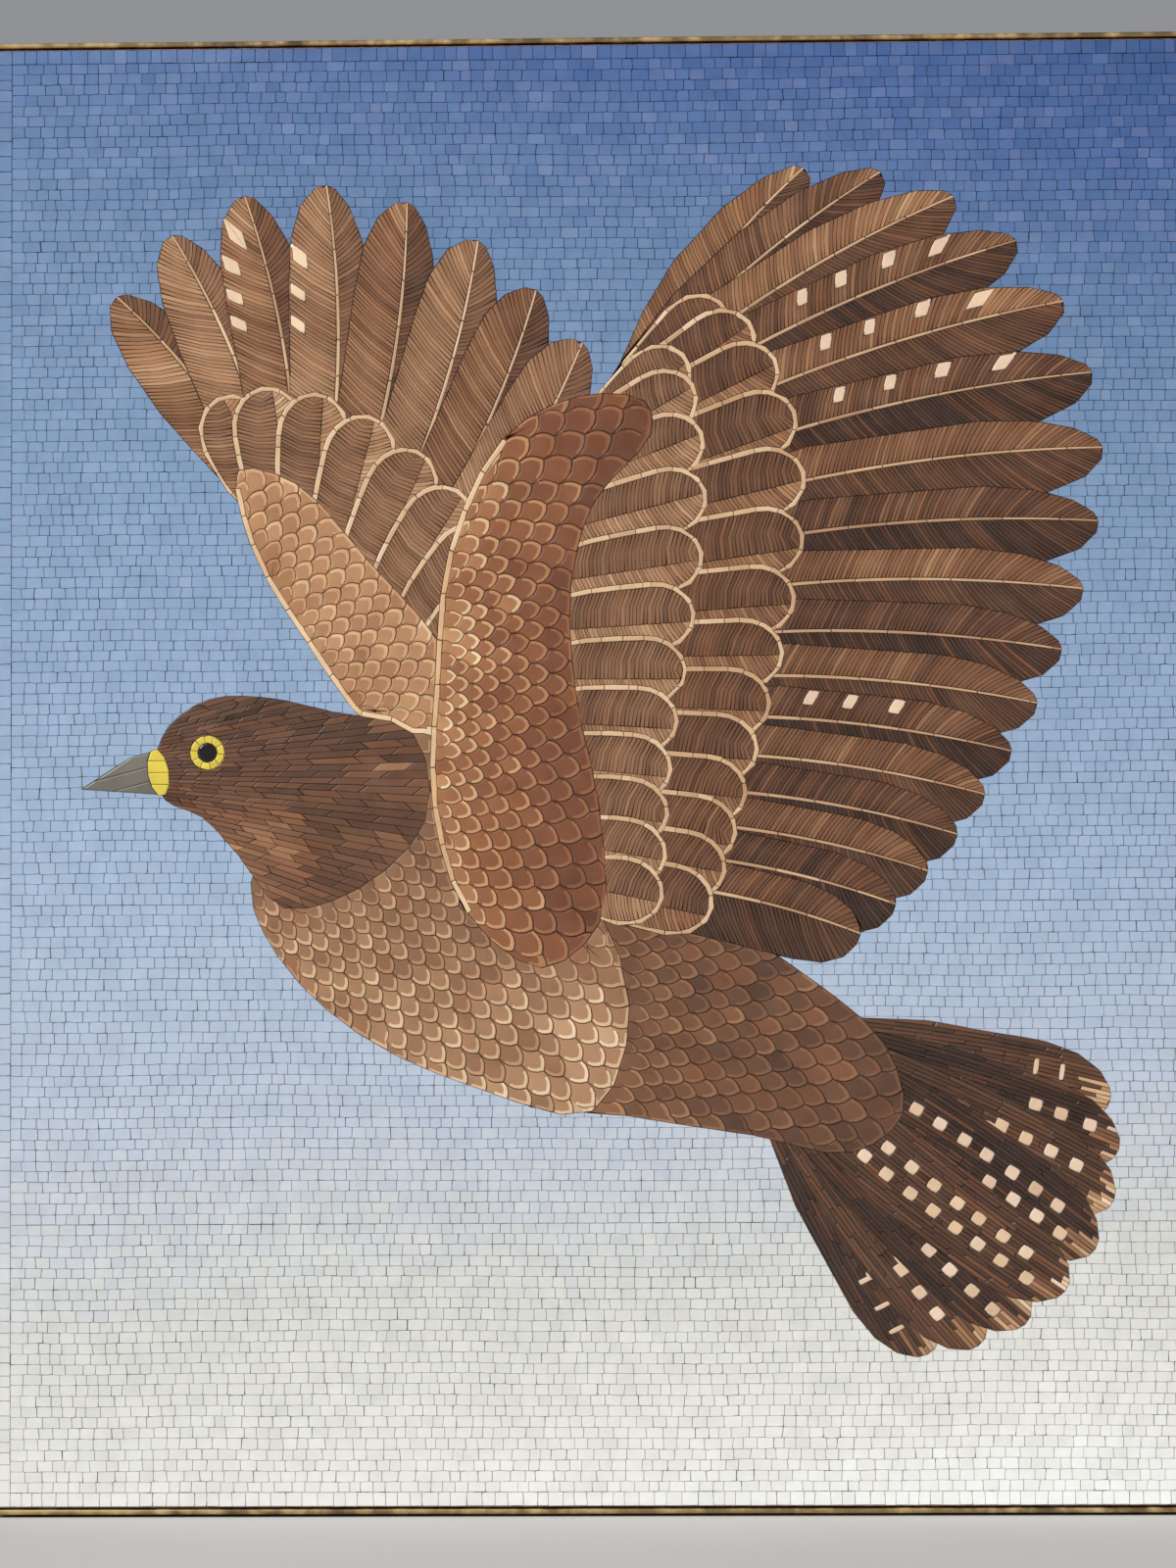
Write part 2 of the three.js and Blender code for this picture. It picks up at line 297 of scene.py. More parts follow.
@dataclass(frozen=True)
class Glass:
    """Opaque coloured glass in its mastic.

    stops are its colours by tone, and tint is a cast on some pieces. grout is the mastic round it,
    which takes on the glass's own colour by a share of smear.
    """

    name: str
    stops: Stops
    tint: Colour
    tint_share: float = 0.3
    polish: float = 0.3
    clouding: float = 0.1
    grout: Colour = (70, 56, 46)
    smear: float = 0.15

    def material(self) -> bpy.types.Material:
        """Returns the material, made once."""
        if self.name in bpy.data.materials:
            return bpy.data.materials[self.name]
        material = bpy.data.materials.new(self.name)
        material.use_nodes = True
        nodes = Tree(material.node_tree)
        shader = material.node_tree.nodes["Principled BSDF"]
        tone = nodes.add("Attribute", attribute_name="tone").outputs["Fac"]
        ramp = nodes.add("ValToRGB", {"Fac": tone})
        marks = ramp.color_ramp.elements
        while len(marks) < len(self.stops):
            marks.new(0.5)
        for mark, (place, colour) in zip(marks, self.stops):
            mark.position = place
            mark.color = srgb(*colour)
        cast = nodes.add("Attribute", attribute_name="cast").outputs["Fac"]
        share = nodes.add("Math", {0: cast, 1: self.tint_share}, operation="MULTIPLY")
        glass = nodes.blend(share.outputs[0], ramp.outputs["Color"], srgb(*self.tint))
        worn = nodes.add("Group", node_tree=glass_group())
        material.node_tree.links.new(glass, worn.inputs["Glass"])
        worn.inputs["Grout"].default_value = srgb(*self.grout)
        worn.inputs["Smear"].default_value = self.smear
        worn.inputs["Polish"].default_value = self.polish
        worn.inputs["Clouding"].default_value = self.clouding
        for output, socket in (
            ("Colour", "Base Color"),
            ("Roughness", "Roughness"),
            ("Normal", "Normal"),
        ):
            material.node_tree.links.new(worn.outputs[output], shader.inputs[socket])
        shader.inputs["IOR"].default_value = 1.5
        return material


@dataclass(frozen=True)
class Brass:
    """Old brass sheet: dull gold, browned in patches, with rubbed edges."""

    name: str = "worn brass"

    def material(self) -> bpy.types.Material:
        """Returns the material."""
        material = bpy.data.materials.new(self.name)
        material.use_nodes = True
        nodes = Tree(material.node_tree)
        links = material.node_tree.links
        shader = material.node_tree.nodes["Principled BSDF"]
        broad = nodes.noise(60, 5)
        fine = nodes.noise(700, 6)
        drawn = nodes.noise(420, 4, (1, 9, 1))
        brown = nodes.ranged(broad, 0.42, 0.66)
        metal = nodes.blend(brown, srgb(158, 132, 88), srgb(108, 84, 64))
        metal = nodes.blend(nodes.ranged(fine, 0.52, 0.7, 0, 0.75), metal, srgb(74, 60, 46))
        rubbed = nodes.add("Attribute", attribute_name="rubbed").outputs["Fac"]
        bright = nodes.add("Math", {0: rubbed, 1: fine}, operation="MULTIPLY")
        metal = nodes.blend(nodes.ranged(bright.outputs[0], 0.3, 0.75), metal, srgb(196, 168, 118))
        links.new(metal, shader.inputs["Base Color"])
        links.new(nodes.ranged(fine, 0.35, 0.7, 0.36, 0.62), shader.inputs["Roughness"])
        links.new(nodes.ranged(fine, 0.5, 0.72, 1.0, 0.55), shader.inputs["Metallic"])
        bump = nodes.add("Bump", {"Strength": 0.35, "Distance": 0.00004, "Height": drawn})
        links.new(bump.outputs[0], shader.inputs["Normal"])
        return material


@dataclass(frozen=True)
class Mastic:
    """Set mastic: matt, grey brown, and reddened along the tray's wall."""

    name: str = "mastic"

    def material(self) -> bpy.types.Material:
        """Returns the material."""
        material = bpy.data.materials.new(self.name)
        material.use_nodes = True
        nodes = Tree(material.node_tree)
        links = material.node_tree.links
        shader = material.node_tree.nodes["Principled BSDF"]
        grain = nodes.noise(1500, 5)
        grey = nodes.blend(nodes.ranged(grain, 0.35, 0.65), srgb(96, 86, 78), srgb(60, 52, 46))
        wall = nodes.add("Attribute", attribute_name="wall").outputs["Fac"]
        pink = nodes.blend(nodes.ranged(grain, 0.3, 0.7), srgb(158, 122, 116), srgb(104, 78, 70))
        links.new(nodes.blend(wall, grey, pink), shader.inputs["Base Color"])
        links.new(nodes.ranged(grain, 0.3, 0.7, 0.8, 0.95), shader.inputs["Roughness"])
        bump = nodes.add("Bump", {"Strength": 0.5, "Distance": 0.00005, "Height": grain})
        links.new(bump.outputs[0], shader.inputs["Normal"])
        return material


SKY_COLOURS: Stops = (
    (0.0, (243, 244, 241)),
    (0.07, (227, 226, 220)),
    (0.175, (209, 209, 202)),
    (0.29, (179, 189, 203)),
    (0.425, (154, 174, 198)),
    (0.62, (121, 147, 178)),
    (0.77, (96, 124, 160)),
    (0.9, (63, 92, 144)),
    (1.0, (41, 74, 125)),
)
LILAC = (190, 184, 206)
AMBER = (150, 92, 54)

DARK_BROWN = Glass(
    "dark brown glass",
    (
        (0.0, (34, 22, 17)),
        (0.35, (62, 41, 31)),
        (0.6, (94, 62, 44)),
        (0.8, (150, 108, 78)),
        (0.92, (204, 168, 130)),
        (1.0, (226, 198, 172)),
    ),
    AMBER,
)
BROWN = Glass(
    "brown glass",
    (
        (0.0, (46, 30, 22)),
        (0.35, (88, 59, 42)),
        (0.6, (124, 84, 58)),
        (0.8, (168, 124, 88)),
        (0.92, (208, 172, 132)),
        (1.0, (228, 200, 172)),
    ),
    AMBER,
)
SOFT_BROWN = Glass(
    "soft brown glass",
    (
        (0.0, (64, 43, 32)),
        (0.35, (112, 78, 56)),
        (0.6, (148, 108, 78)),
        (0.8, (184, 142, 106)),
        (0.92, (214, 180, 140)),
        (1.0, (232, 206, 174)),
    ),
    AMBER,
)
RUST = Glass(
    "rust glass",
    (
        (0.0, (66, 38, 25)),
        (0.35, (112, 66, 42)),
        (0.6, (142, 90, 58)),
        (0.8, (186, 136, 92)),
        (0.92, (214, 174, 130)),
        (1.0, (232, 204, 162)),
    ),
    AMBER,
)
TAN = Glass(
    "tan glass",
    (
        (0.0, (96, 62, 42)),
        (0.35, (150, 104, 70)),
        (0.6, (182, 136, 96)),
        (0.8, (206, 164, 122)),
        (0.92, (222, 188, 148)),
        (1.0, (236, 210, 172)),
    ),
    AMBER,
)
YELLOW = Glass("yellow glass", ((0.0, (186, 160, 46)), (1.0, (236, 216, 84))), (240, 226, 130))
GREY = Glass("grey glass", ((0.0, (58, 56, 54)), (1.0, (132, 126, 114))), (160, 156, 148))
BLACK = Glass("black glass", ((0.0, (12, 10, 9)), (1.0, (34, 28, 24))), (40, 34, 30), polish=0.12)


# ---------------------------------------------------------------- how glass is ground and set


class Shape(Enum):
    """What a cell of the picture is filled with."""

    MASTIC = 0
    TESSERA = 1
    BARB = 2
    SHAFT = 3
    LEAF = 4
    OVAL = 5
    STREAK = 6
    POLISHED = 7


@dataclass(frozen=True)
class Setting:
    """How one shape of glass sits in its cell, in millimetres.

    joint is the mastic round it, edge and drop are the width and height of its ground edge, lift
    and tilt are how unevenly it is set, taper narrows its ends, and corner rounds its corners.
    """

    joint: float
    edge: float = 0.0
    drop: float = 0.0
    lift: float = 0.008
    tilt: float = 0.015
    taper: float = 0.0
    corner: float = 0.0
    smallest: float = 0.03


SETTINGS = {
    Shape.TESSERA: Setting(joint=0.024, lift=0.006, tilt=0.01, corner=0.09),
    Shape.BARB: Setting(joint=0.042, lift=0.012, tilt=0.03, taper=0.42, smallest=0.02),
    Shape.SHAFT: Setting(joint=0.05, edge=0.06, drop=0.02, lift=0.006, tilt=0.01, taper=0.12),
    Shape.LEAF: Setting(joint=0.06, edge=0.17, drop=0.02, lift=0.012, tilt=0.02, corner=0.05),
    Shape.OVAL: Setting(joint=0.06, edge=0.07, drop=0.02, lift=0.008, tilt=0.01, corner=1.0),
    Shape.STREAK: Setting(joint=0.05, edge=0.05, drop=0.012, lift=0.012, tilt=0.03, taper=0.3),
    Shape.POLISHED: Setting(joint=0.05, edge=0.1, drop=0.03, lift=0.0, tilt=0.0, corner=0.04),
}


# ---------------------------------------------------------------- layouts: straight cuts, laid bent


class Layout(Protocol):
    """A way to lay a pattern of straight cuts on the picture."""

    def flatten(self, place: Vector) -> Vector:
        """Returns where a place of the picture lies in the straight pattern."""

    def lay(self, place: Vector) -> Vector:
        """Returns where a place of the straight pattern lies on the picture."""


@dataclass(frozen=True)
class Courses:
    """The sky's courses, which wander a little up and down between two straight lines."""

    low: float
    high: float
    sway: float = 0.22

    def wave(self, place: Vector) -> float:
        """Returns how far a course is off its straight line at a place."""
        within = held((place.y - self.low) / (self.high - self.low))
        calm = math.sqrt(math.sin(math.pi * within)) if 0 < within < 1 else 0.0
        ends = 1 - eased(abs(place.x), 40, 48)
        slow = Vector((place.x, place.y * 0.45))
        return self.sway * calm * ends * (patchy(slow, 17, 1) + 0.35 * patchy(slow, 6, 2))

    def flatten(self, place: Vector) -> Vector:
        """Returns the place with its course made straight."""
        return Vector((place.x, place.y - self.wave(place), place.z))

    def lay(self, place: Vector) -> Vector:
        """Returns the place on its wandering course."""
        return Vector((place.x, place.y + self.wave(place), place.z))


@dataclass(frozen=True)
class Fan:
    """Rows that spread from a centre, with pieces that grow with their distance from it."""

    centre: Vector
    radius: float

    def flatten(self, place: Vector) -> Vector:
        """Returns the distance and the turn from the centre, both as lengths."""
        arm = place.xy - self.centre
        along = self.radius * math.log(arm.length / self.radius)
        return Vector((along, self.radius * math.atan2(arm.y, arm.x), place.z))

    def lay(self, place: Vector) -> Vector:
        """Returns the place at that distance and turn."""
        reach = self.radius * math.exp(place.x / self.radius)
        spot = polar(self.centre, reach, math.degrees(place.y / self.radius))
        return Vector((spot.x, spot.y, place.z))


@dataclass(frozen=True)
class Shaft:
    """A feather's middle line from quill to tip, bowed sideways by a share of its length."""

    quill: Vector
    tip: Vector
    bow: float = 0.0

    @cached_property
    def length(self) -> float:
        """The straight length of the feather."""
        return (self.tip - self.quill).length

    @cached_property
    def along(self) -> Vector:
        """The direction from quill to tip."""
        return (self.tip - self.quill).normalized()

    @cached_property
    def left(self) -> Vector:
        """The direction to the left, seen from the quill."""
        return Vector((-self.along.y, self.along.x))

    def sag(self, distance: float) -> float:
        """Returns how far the bowed line is to the left at a distance from the quill."""
        share = distance / self.length
        return self.bow * self.length * 4 * share * (1 - share)

    def flatten(self, place: Vector) -> Vector:
        """Returns the distance along the shaft and to its left."""
        arm = place.xy - self.quill
        distance = arm.dot(self.along)
        return Vector((distance, arm.dot(self.left) - self.sag(distance), place.z))

    def lay(self, place: Vector) -> Vector:
        """Returns the place at that distance along and beside the shaft."""
        spot = self.quill + place.x * self.along + (place.y + self.sag(place.x)) * self.left
        return Vector((spot.x, spot.y, place.z))


@dataclass(frozen=True)
class Barbs:
    """Barbs that leave a shaft at a slant, curl to the tip, and fan out round it.

    half is half the shaft's width, lean is how far a barb goes along for each unit out, and fan is
    how much further it leans at the tip, from the distance fan_from on.
    """

    shaft: Shaft
    half: float
    lean: float
    fan: float
    fan_from: float
    curl: float

    def slope(self, start: float) -> float:
        """Returns the lean of the barb that leaves the shaft at a distance from the quill."""
        share = (start - self.fan_from) / (self.shaft.length - self.fan_from)
        return self.lean + self.fan * max(0.0, share) ** 2

    def reach(self, start: float, out: float) -> float:
        """Returns how far along the feather a barb is at a distance out from the shaft."""
        return start + self.slope(start) * out + self.curl * out * out

    def flatten(self, place: Vector) -> Vector:
        """Returns where the barb through a place leaves the shaft, and how far out the place is."""
        spot = self.shaft.flatten(place)
        out = max(0.0, abs(spot.y) - self.half)
        low, high = spot.x - 40.0, spot.x
        for _ in range(32):
            middle = (low + high) / 2
            if self.reach(middle, out) < spot.x:
                low = middle
            else:
                high = middle
        return Vector((high if out > 0 else spot.x, spot.y, place.z))

    def lay(self, place: Vector) -> Vector:
        """Returns the place on its barb."""
        out = max(0.0, abs(place.y) - self.half)
        return self.shaft.lay(Vector((self.reach(place.x, out), place.y, place.z)))


# ---------------------------------------------------------------- outlines of feathers


def smooth_line(points: Sequence[Vector]) -> Callable[[float], Vector]:
    """Makes a smooth open line through points.

    Args:
        points: the points in order.

    Returns:
        A function that gives the point at a share of the line's length.
    """

    def at(share: float) -> Vector:
        """Returns the point at a share of the spans."""
        place = share * (len(points) - 1)
        span = min(int(place), len(points) - 2)
        t = place - span
        before, a, b = points[max(span - 1, 0)], points[span], points[span + 1]
        after = points[min(span + 2, len(points) - 1)]
        go, come = (b - before) / 2, (after - a) / 2
        return (
            (2 * a - 2 * b + go + come) * t**3 + (-3 * a + 3 * b - 2 * go - come) * t**2 + go * t + a
        )

    line = [at(k / 200) for k in range(201)]
    walked = [0.0]
    for a, b in zip(line, line[1:]):
        walked.append(walked[-1] + (b - a).length)

    def read(share: float) -> Vector:
        """Returns the point at a share of the length."""
        goal = held(share) * walked[-1]
        k = max(1, next(i for i, far in enumerate(walked) if far >= goal - 1e-9))
        part = (goal - walked[k - 1]) / (walked[k] - walked[k - 1])
        return line[k - 1].lerp(line[k], part)

    return read


def covert_outline(shaft: Shaft, width: float, blunt: float, turns: int = 5) -> list[Vector]:
    """Returns the outline of a short rounded feather, anticlockwise from the quill.

    Args:
        shaft: its middle line.
        width: its full width.
        blunt: the length of its rounded tip, in widths.
        turns: points on each side of the tip.

    Returns:
        The outline's points.
    """
    start = 1 - min(0.6, blunt * width / shaft.length)

    def side(sign: int) -> list[Vector]:
        """Returns one side from the quill towards the tip."""
        stations = [(share * start, 1.0) for share in (0, 0.2, 0.4, 0.6, 0.8)]
        for k in range(turns):
            turn = math.pi / 2 * k / turns
            stations.append((mix(start, 1, math.sin(turn)), math.cos(turn)))
        found = []
        for share, part in stations:
            full = 0.45 + 0.55 * math.sin(math.pi / 2 * min(1, share / 0.6))
            spot = Vector((share * shaft.length, sign * width / 2 * full * part, 0))
            found.append(shaft.lay(spot).xy)
        return found

    return [*side(-1), shaft.tip.xy, *reversed(side(1))]


@dataclass(frozen=True)
class Wing:
    """Where a wing's feathers lie: quills along the arm, tips on a fan about a centre."""

    arm: tuple[Vector, ...]
    centre: Vector
    angles: tuple[float, float]
    reach: tuple[float, float]
    longest: float
    falloff: float
    bow: float

    @cached_property
    def arm_line(self) -> Callable[[float], Vector]:
        """The smooth line of the arm."""
        return smooth_line(self.arm)

    def shaft(self, place: float, share: float = 1.0, bow: float | None = None) -> Shaft:
        """Returns the middle line of a feather at a place from the hand, 0, to the body, 1.

        Args:
            place: where along the arm its quill is.
            share: how much of the way to the fan's edge it reaches.
            bow: its own bow, or None for the wing's.

        Returns:
            The feather's middle line.
        """
        quill = self.arm_line(place)
        stretch = math.exp(-(((place - self.longest) / self.falloff) ** 2))
        tip = polar(self.centre, mix(*self.reach, stretch), mix(*self.angles, place))
        return Shaft(quill, quill.lerp(tip, share), self.bow if bow is None else bow)


# ---------------------------------------------------------------- one area cut and set with glass

Tone = Callable[[Vector], float]


@dataclass
class Area:
    """One area of the picture, from its plan to its closed and dressed piece.

    It stands for one CAD node. Subclasses say in cut() how its glass is cut.
    """

    node: str
    slot: str
    finish: Glass
    seed: int = 0
    bm: BMesh = field(init=False, repr=False)
    rng: Random = field(init=False, repr=False)

    def build(self) -> bpy.types.Object:
        """Returns the finished piece, which replaces its CAD node."""
        self.rng = Random(f"{self.node}{self.seed}")
        self.open_plan()
        self.cut()
        self.heal()
        self.set_glass()
        self.close()
        return self.dress()

    def cut(self) -> None:
        """Cuts the plan into cells and gives each a shape and a tone."""
        raise NotImplementedError

    # -- the plan

    def open_plan(self) -> None:
        """Lays the node's flat back face out as a plan, grown to the middle of its joints."""
        self.bm = bmesh.new()
        self.bm.from_mesh(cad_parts[self.node].data)
        bm = self.bm
        bmesh.ops.remove_doubles(bm, verts=bm.verts, dist=1e-7)
        others = [f for f in bm.faces if f.normal.y < 0.99]
        bmesh.ops.delete(bm, geom=others, context="FACES")
        turn = Matrix.Rotation(-math.pi / 2, 4, "X") @ Matrix.Scale(1 / MM, 4)
        bmesh.ops.transform(bm, matrix=turn, verts=bm.verts)
        bmesh.ops.reverse_faces(bm, faces=bm.faces)
        bmesh.ops.dissolve_limit(
            bm,
            angle_limit=0.001,
            use_dissolve_boundaries=False,
            verts=bm.verts,
            edges=bm.edges,
        )
        self.shape = bm.faces.layers.int.new("shape")
        self.tone = bm.faces.layers.float.new("tone")
        self.cast = bm.faces.layers.float.new("cast")
        self.part = bm.faces.layers.int.new("part")
        self.crown = bm.verts.layers.float.new("crown")
        self.seam = bm.edges.layers.int.new("seam")
        self.joint = bm.edges.layers.int.new("joint")
        for edge in bm.edges:
            edge[self.seam] = int(not edge.is_boundary)
        for vert in bm.verts:
            vert.co.z = -GROOVE
        self.grow(JOINT / 2)

    def grow(self, distance: float) -> None:
        """Moves the plan's outline outwards."""
        moves = {}
        for vert in self.bm.verts:
            outward = []
            for edge in vert.link_edges:
                if edge.is_boundary:
                    loop = edge.link_loops[0]
                    run = (loop.link_loop_next.vert.co - loop.vert.co).normalized()
                    outward.append(Vector((run.y, -run.x, 0)))
            if len(outward) == 2:
                corner = (outward[0] + outward[1]).normalized()
                moves[vert] = corner * (distance / max(0.5, corner.dot(outward[0])))
        for vert, move in moves.items():
            vert.co += move

    def heal(self) -> None:
        """Joins cells across the seams that the plan came with."""
        seams = [e for e in self.bm.edges if e[self.seam] and len(e.link_faces) == 2]
        if seams:
            bmesh.ops.dissolve_edges(self.bm, edges=seams, use_verts=True)

    # -- cutting

    @contextmanager
    def flat(self, keep: Callable[[BMFace], bool], layout: Layout) -> Iterator[list[BMFace]]:
        """Holds some faces in their straight pattern while they are cut.

        Args:
            keep: says which faces.
            layout: the way back to the picture.

        Returns:
            The faces, and lays what they have become on the picture afterwards.
        """
        faces = [f for f in self.bm.faces if keep(f)]
        home = {v: v.co.copy() for f in faces for v in f.verts}
        for vert in home:
            vert.co = layout.flatten(vert.co)
        yield faces
        for vert in {v for f in self.bm.faces if keep(f) for v in f.verts}:
            vert.co = home[vert] if vert in home else layout.lay(vert.co)

    def slice(self, faces: Iterable[BMFace], cuts: Iterable[tuple[Vector, Vector]]) -> list[BMFace]:
        """Cuts faces by lines that follow one another across them.

        Args:
            faces: the faces to cut.
            cuts: a point and a normal for each line, in the order of the normals.

        Returns:
            All the faces after the last cut.
        """
        done: list[BMFace] = []
        rest = list(faces)
        for point, normal in cuts:
            ahead = []
            crossed = []
            for face in rest:
                sides = [(v.co.xy - point).dot(normal) for v in face.verts]
                if max(sides) <= TOUCH:
                    done.append(face)
                elif min(sides) >= -TOUCH:
                    ahead.append(face)
                else:
                    crossed.append(face)
            for face in self.bisect(crossed, point, normal):
                reach = max(((v.co.xy - point).dot(normal) for v in face.verts), key=abs)
                (ahead if reach > 0 else done).append(face)
            rest = ahead
        return done + rest

    def bisect(self, faces: list[BMFace], point: Vector, normal: Vector) -> list[BMFace]:
        """Cuts faces by one line and returns what they have become."""
        if not faces:
            return []
        verts = {v for f in faces for v in f.verts}
        edges = {e for f in faces for e in f.edges}
        result = bmesh.ops.bisect_plane(
            self.bm,
            geom=[*verts, *edges, *faces],
            dist=TOUCH,
            plane_co=point.to_3d(),
            plane_no=normal.to_3d(),
        )
        return [g for g in result["geom"] if isinstance(g, BMFace)]

    def lay_strands(
        self, faces: list[BMFace], pitch: float, lengths: tuple[float, float], slant: float
    ) -> float:
        """Cuts faces of a straight pattern into rows of long streaks with slanting ends.

        Args:
            faces: the faces.
            pitch: the width of a row.
            lengths: the shortest and the longest streak.
            slant: how far an end leans for each unit across the row.

        Returns:
            The place of the first joint between two rows.
        """
        spots = [v.co for f in faces for v in f.verts]
        low, high = min(s.y for s in spots), max(s.y for s in spots)
        first = low + 0.6 * pitch
        count = int((high - low) / pitch)
        lines = [(Vector((0, first + k * pitch)), Vector((0, 1))) for k in range(count)]
        rows: dict[int, list[BMFace]] = {}
        for face in self.slice(faces, lines):
            heights = [v.co.y for v in face.verts]
            row = math.floor(((min(heights) + max(heights)) / 2 - first) / pitch) + 1
            face[self.part] = row
            rows.setdefault(row, []).append(face)
        for row, strip in rows.items():
            lean = Vector((1, self.rng.choice((-slant, slant)))).normalized()
            places = steps(
                min(s.x for s in spots) - 2, max(s.x for s in spots), self.rng, *lengths
            )
            middle = first + (row - 0.5) * pitch
            for face in self.slice(strip, [(Vector((x, middle)), lean) for x in places]):
                face[self.shape] = Shape.STREAK.value
        return first

    def shorten_edges(self, longest: float) -> None:
        """Adds points to the outline, so that it stays true when it is laid bent."""
        for cuts in range(1, 60):
            edges = [
                e
                for e in self.bm.edges
                if e.is_boundary and int(e.calc_length() / longest) == cuts
            ]
            if edges:
                bmesh.ops.bisect_edges(self.bm, edges=edges, cuts=cuts)

    def merge_small(self, smallest: float) -> None:
        """Joins cells that are too small to set to the neighbour on their longest side."""
        for _ in range(2):
            chosen = []
            taken: set[BMFace] = set()
            for face in self.bm.faces:
                if face in taken or face.calc_area() >= smallest:
                    continue
                sides = [
                    e
                    for e in face.edges
                    if len(e.link_faces) == 2
                    and all(f[self.part] == face[self.part] for f in e.link_faces)
                ]
                sides = [e for e in sides if not taken & set(e.link_faces)]
                if sides:
                    best = max(sides, key=BMEdge.calc_length)
                    chosen.append(best)
                    taken.update(best.link_faces)
            if not chosen:
                break
            bmesh.ops.dissolve_edges(self.bm, edges=chosen, use_verts=False)
        self.weld(0.05)

    def weld(self, shortest: float) -> None:
        """Draws crossings of the joints together where they are closer than that."""
        for _ in range(2):
            targets: dict[BMVert, BMVert] = {}
            used: set[BMVert] = set()
            for edge in self.bm.edges:
                first, second = edge.verts
                if edge.calc_length() > shortest or used & {first, second}:
                    continue
                if first.is_boundary and second.is_boundary and not edge.is_boundary:
                    continue
                if first.is_boundary:
                    first, second = second, first
                targets[first] = second
                used |= {first, second}
            if not targets:
                break
            bmesh.ops.weld_verts(self.bm, targetmap=targets)

    def add_middles(self, shortest: float) -> None:
        """Adds a middle point to each longer joint, so that the glass can have rounded sides."""
        edges = [e for e in self.bm.edges if not e.is_boundary and e.calc_length() > shortest]
        if edges:
            bmesh.ops.bisect_edges(self.bm, edges=edges, cuts=1)

    def unsettle(self, amount: float) -> None:
        """Moves the crossings of the joints a little, as cuts by hand do."""
        for vert in self.bm.verts:
            if not vert.is_boundary and len(vert.link_edges) > 2:
                vert.co.x += self.rng.uniform(-amount, amount)
                vert.co.y += self.rng.uniform(-amount, amount)

    # -- setting

    def set_glass(self) -> None:
        """Raises the glass of every cell out of the mastic."""
        for shape, setting in SETTINGS.items():
            cells = [
                f
                for f in self.bm.faces
                if f[self.shape] == shape.value and f.calc_area() > setting.smallest
            ]
            groups: dict[float, list[BMFace]] = {}
            for cell in cells:
                slim = 2 * cell.calc_area() / cell.calc_perimeter()
                share = self.rng.choice((0.6, 0.85, 1.0, 1.3))
                thick = min(setting.joint / 2 * share, 0.4 * slim)
                groups.setdefault(round(thick, 3) or 0.001, []).append(cell)
            for thick, group in groups.items():
                self.inset(group, thick, GROOVE - setting.drop)
            for cell in cells:
                self.form(cell, setting)
                for vert in cell.verts:
                    vert[self.crown] = 1.0
            if setting.edge:
                self.grind(cells, setting)
            for cell in cells:
                self.unlevel(cell, setting)
            self.finish_cells(shape, cells)

    def inset(self, cells: list[BMFace], thick: float, rise: float) -> None:
        """Insets cells on their own, and mends those that the inset turns inside out."""
        slims = {cell: 2 * cell.calc_area() / cell.calc_perimeter() for cell in cells}
        bmesh.ops.inset_individual(
            self.bm, faces=cells, thickness=thick, depth=rise, use_even_offset=True
        )
        for cell, slim in slims.items():
            pairs = [(v.co.xy, self.outer_end(v, cell).co.xy) for v in cell.verts]
            rings = zip(pairs, pairs[1:] + pairs[:1])
            far = max((inner - outer).length for inner, outer in pairs)
            if far > 4 * thick or any(
                (b[1] - a[1]).cross(b[0] - a[1]) + (b[0] - a[1]).cross(a[0] - a[1]) < 0
                for a, b in rings
            ):
                middle = sum((outer for _, outer in pairs), Vector((0, 0))) / len(pairs)
                share = held(thick / slim, 0.06, 0.35)
                for vert, (_, outer) in zip(list(cell.verts), pairs):
                    vert.co.x, vert.co.y = outer.lerp(middle, share)

    @staticmethod
    def outer_end(vert: BMVert, cell: BMFace) -> BMVert:
        """Returns the point in the joint from which a point of an inset cell came."""
        for edge in vert.link_edges:
            if cell not in edge.link_faces:
                return edge.other_vert(vert)
        return vert

    @staticmethod
    def turning(cell: BMFace) -> float:
        """Returns a cell's area, below zero when its outline runs clockwise."""
        spots = [v.co for v in cell.verts]
        return sum(a.x * b.y - b.x * a.y for a, b in zip(spots, spots[1:] + spots[:1])) / 2

    def form(self, cell: BMFace, setting: Setting) -> None:
        """Shapes the outline of a raised piece of glass."""
        if not (setting.taper or setting.corner):
            return
        middle = cell.calc_center_median().xy
        spots = [v.co.xy - middle for v in cell.verts]
        axis = max(spots, key=lambda s: s.length).normalized()
        if setting.corner >= 1:
            runs = [b - a for a, b in zip(spots, spots[1:] + spots[:1])]
            turns = sum((complex(run.x, run.y) ** 4 / (run.length**3 + TOUCH) for run in runs), 0j)
            turn = math.atan2(turns.imag, turns.real) / 4
            axis = Vector((math.cos(turn), math.sin(turn)))
        side = Vector((-axis.y, axis.x))
        long = max(abs(s.dot(axis)) for s in spots)
        wide = max(abs(s.dot(side)) for s in spots)
        chip = setting.corner * self.rng.uniform(0.3, 1.4)
        for vert, spot in zip(list(cell.verts), spots):
            u, v = spot.dot(axis) / long, spot.dot(side) / max(wide, 1e-6)
            if setting.corner >= 1:
                turn = math.atan2(v, u)
                moved = axis * (0.96 * long * math.cos(turn)) + side * (
                    0.96 * wide * math.sin(turn)
                )
                moved *= min(1.0, spot.length / max(moved.length, 1e-6))
            elif setting.corner:
                moved = spot * (1 - chip * held(spot.length / long - 0.45) * 1.4)
            else:
                ends = u**4
                moved = axis * (spot.dot(axis) * (1 - 0.03 * ends)) + side * (
                    spot.dot(side) * (1 - setting.taper * ends)
                )
            vert.co.x, vert.co.y = middle + moved

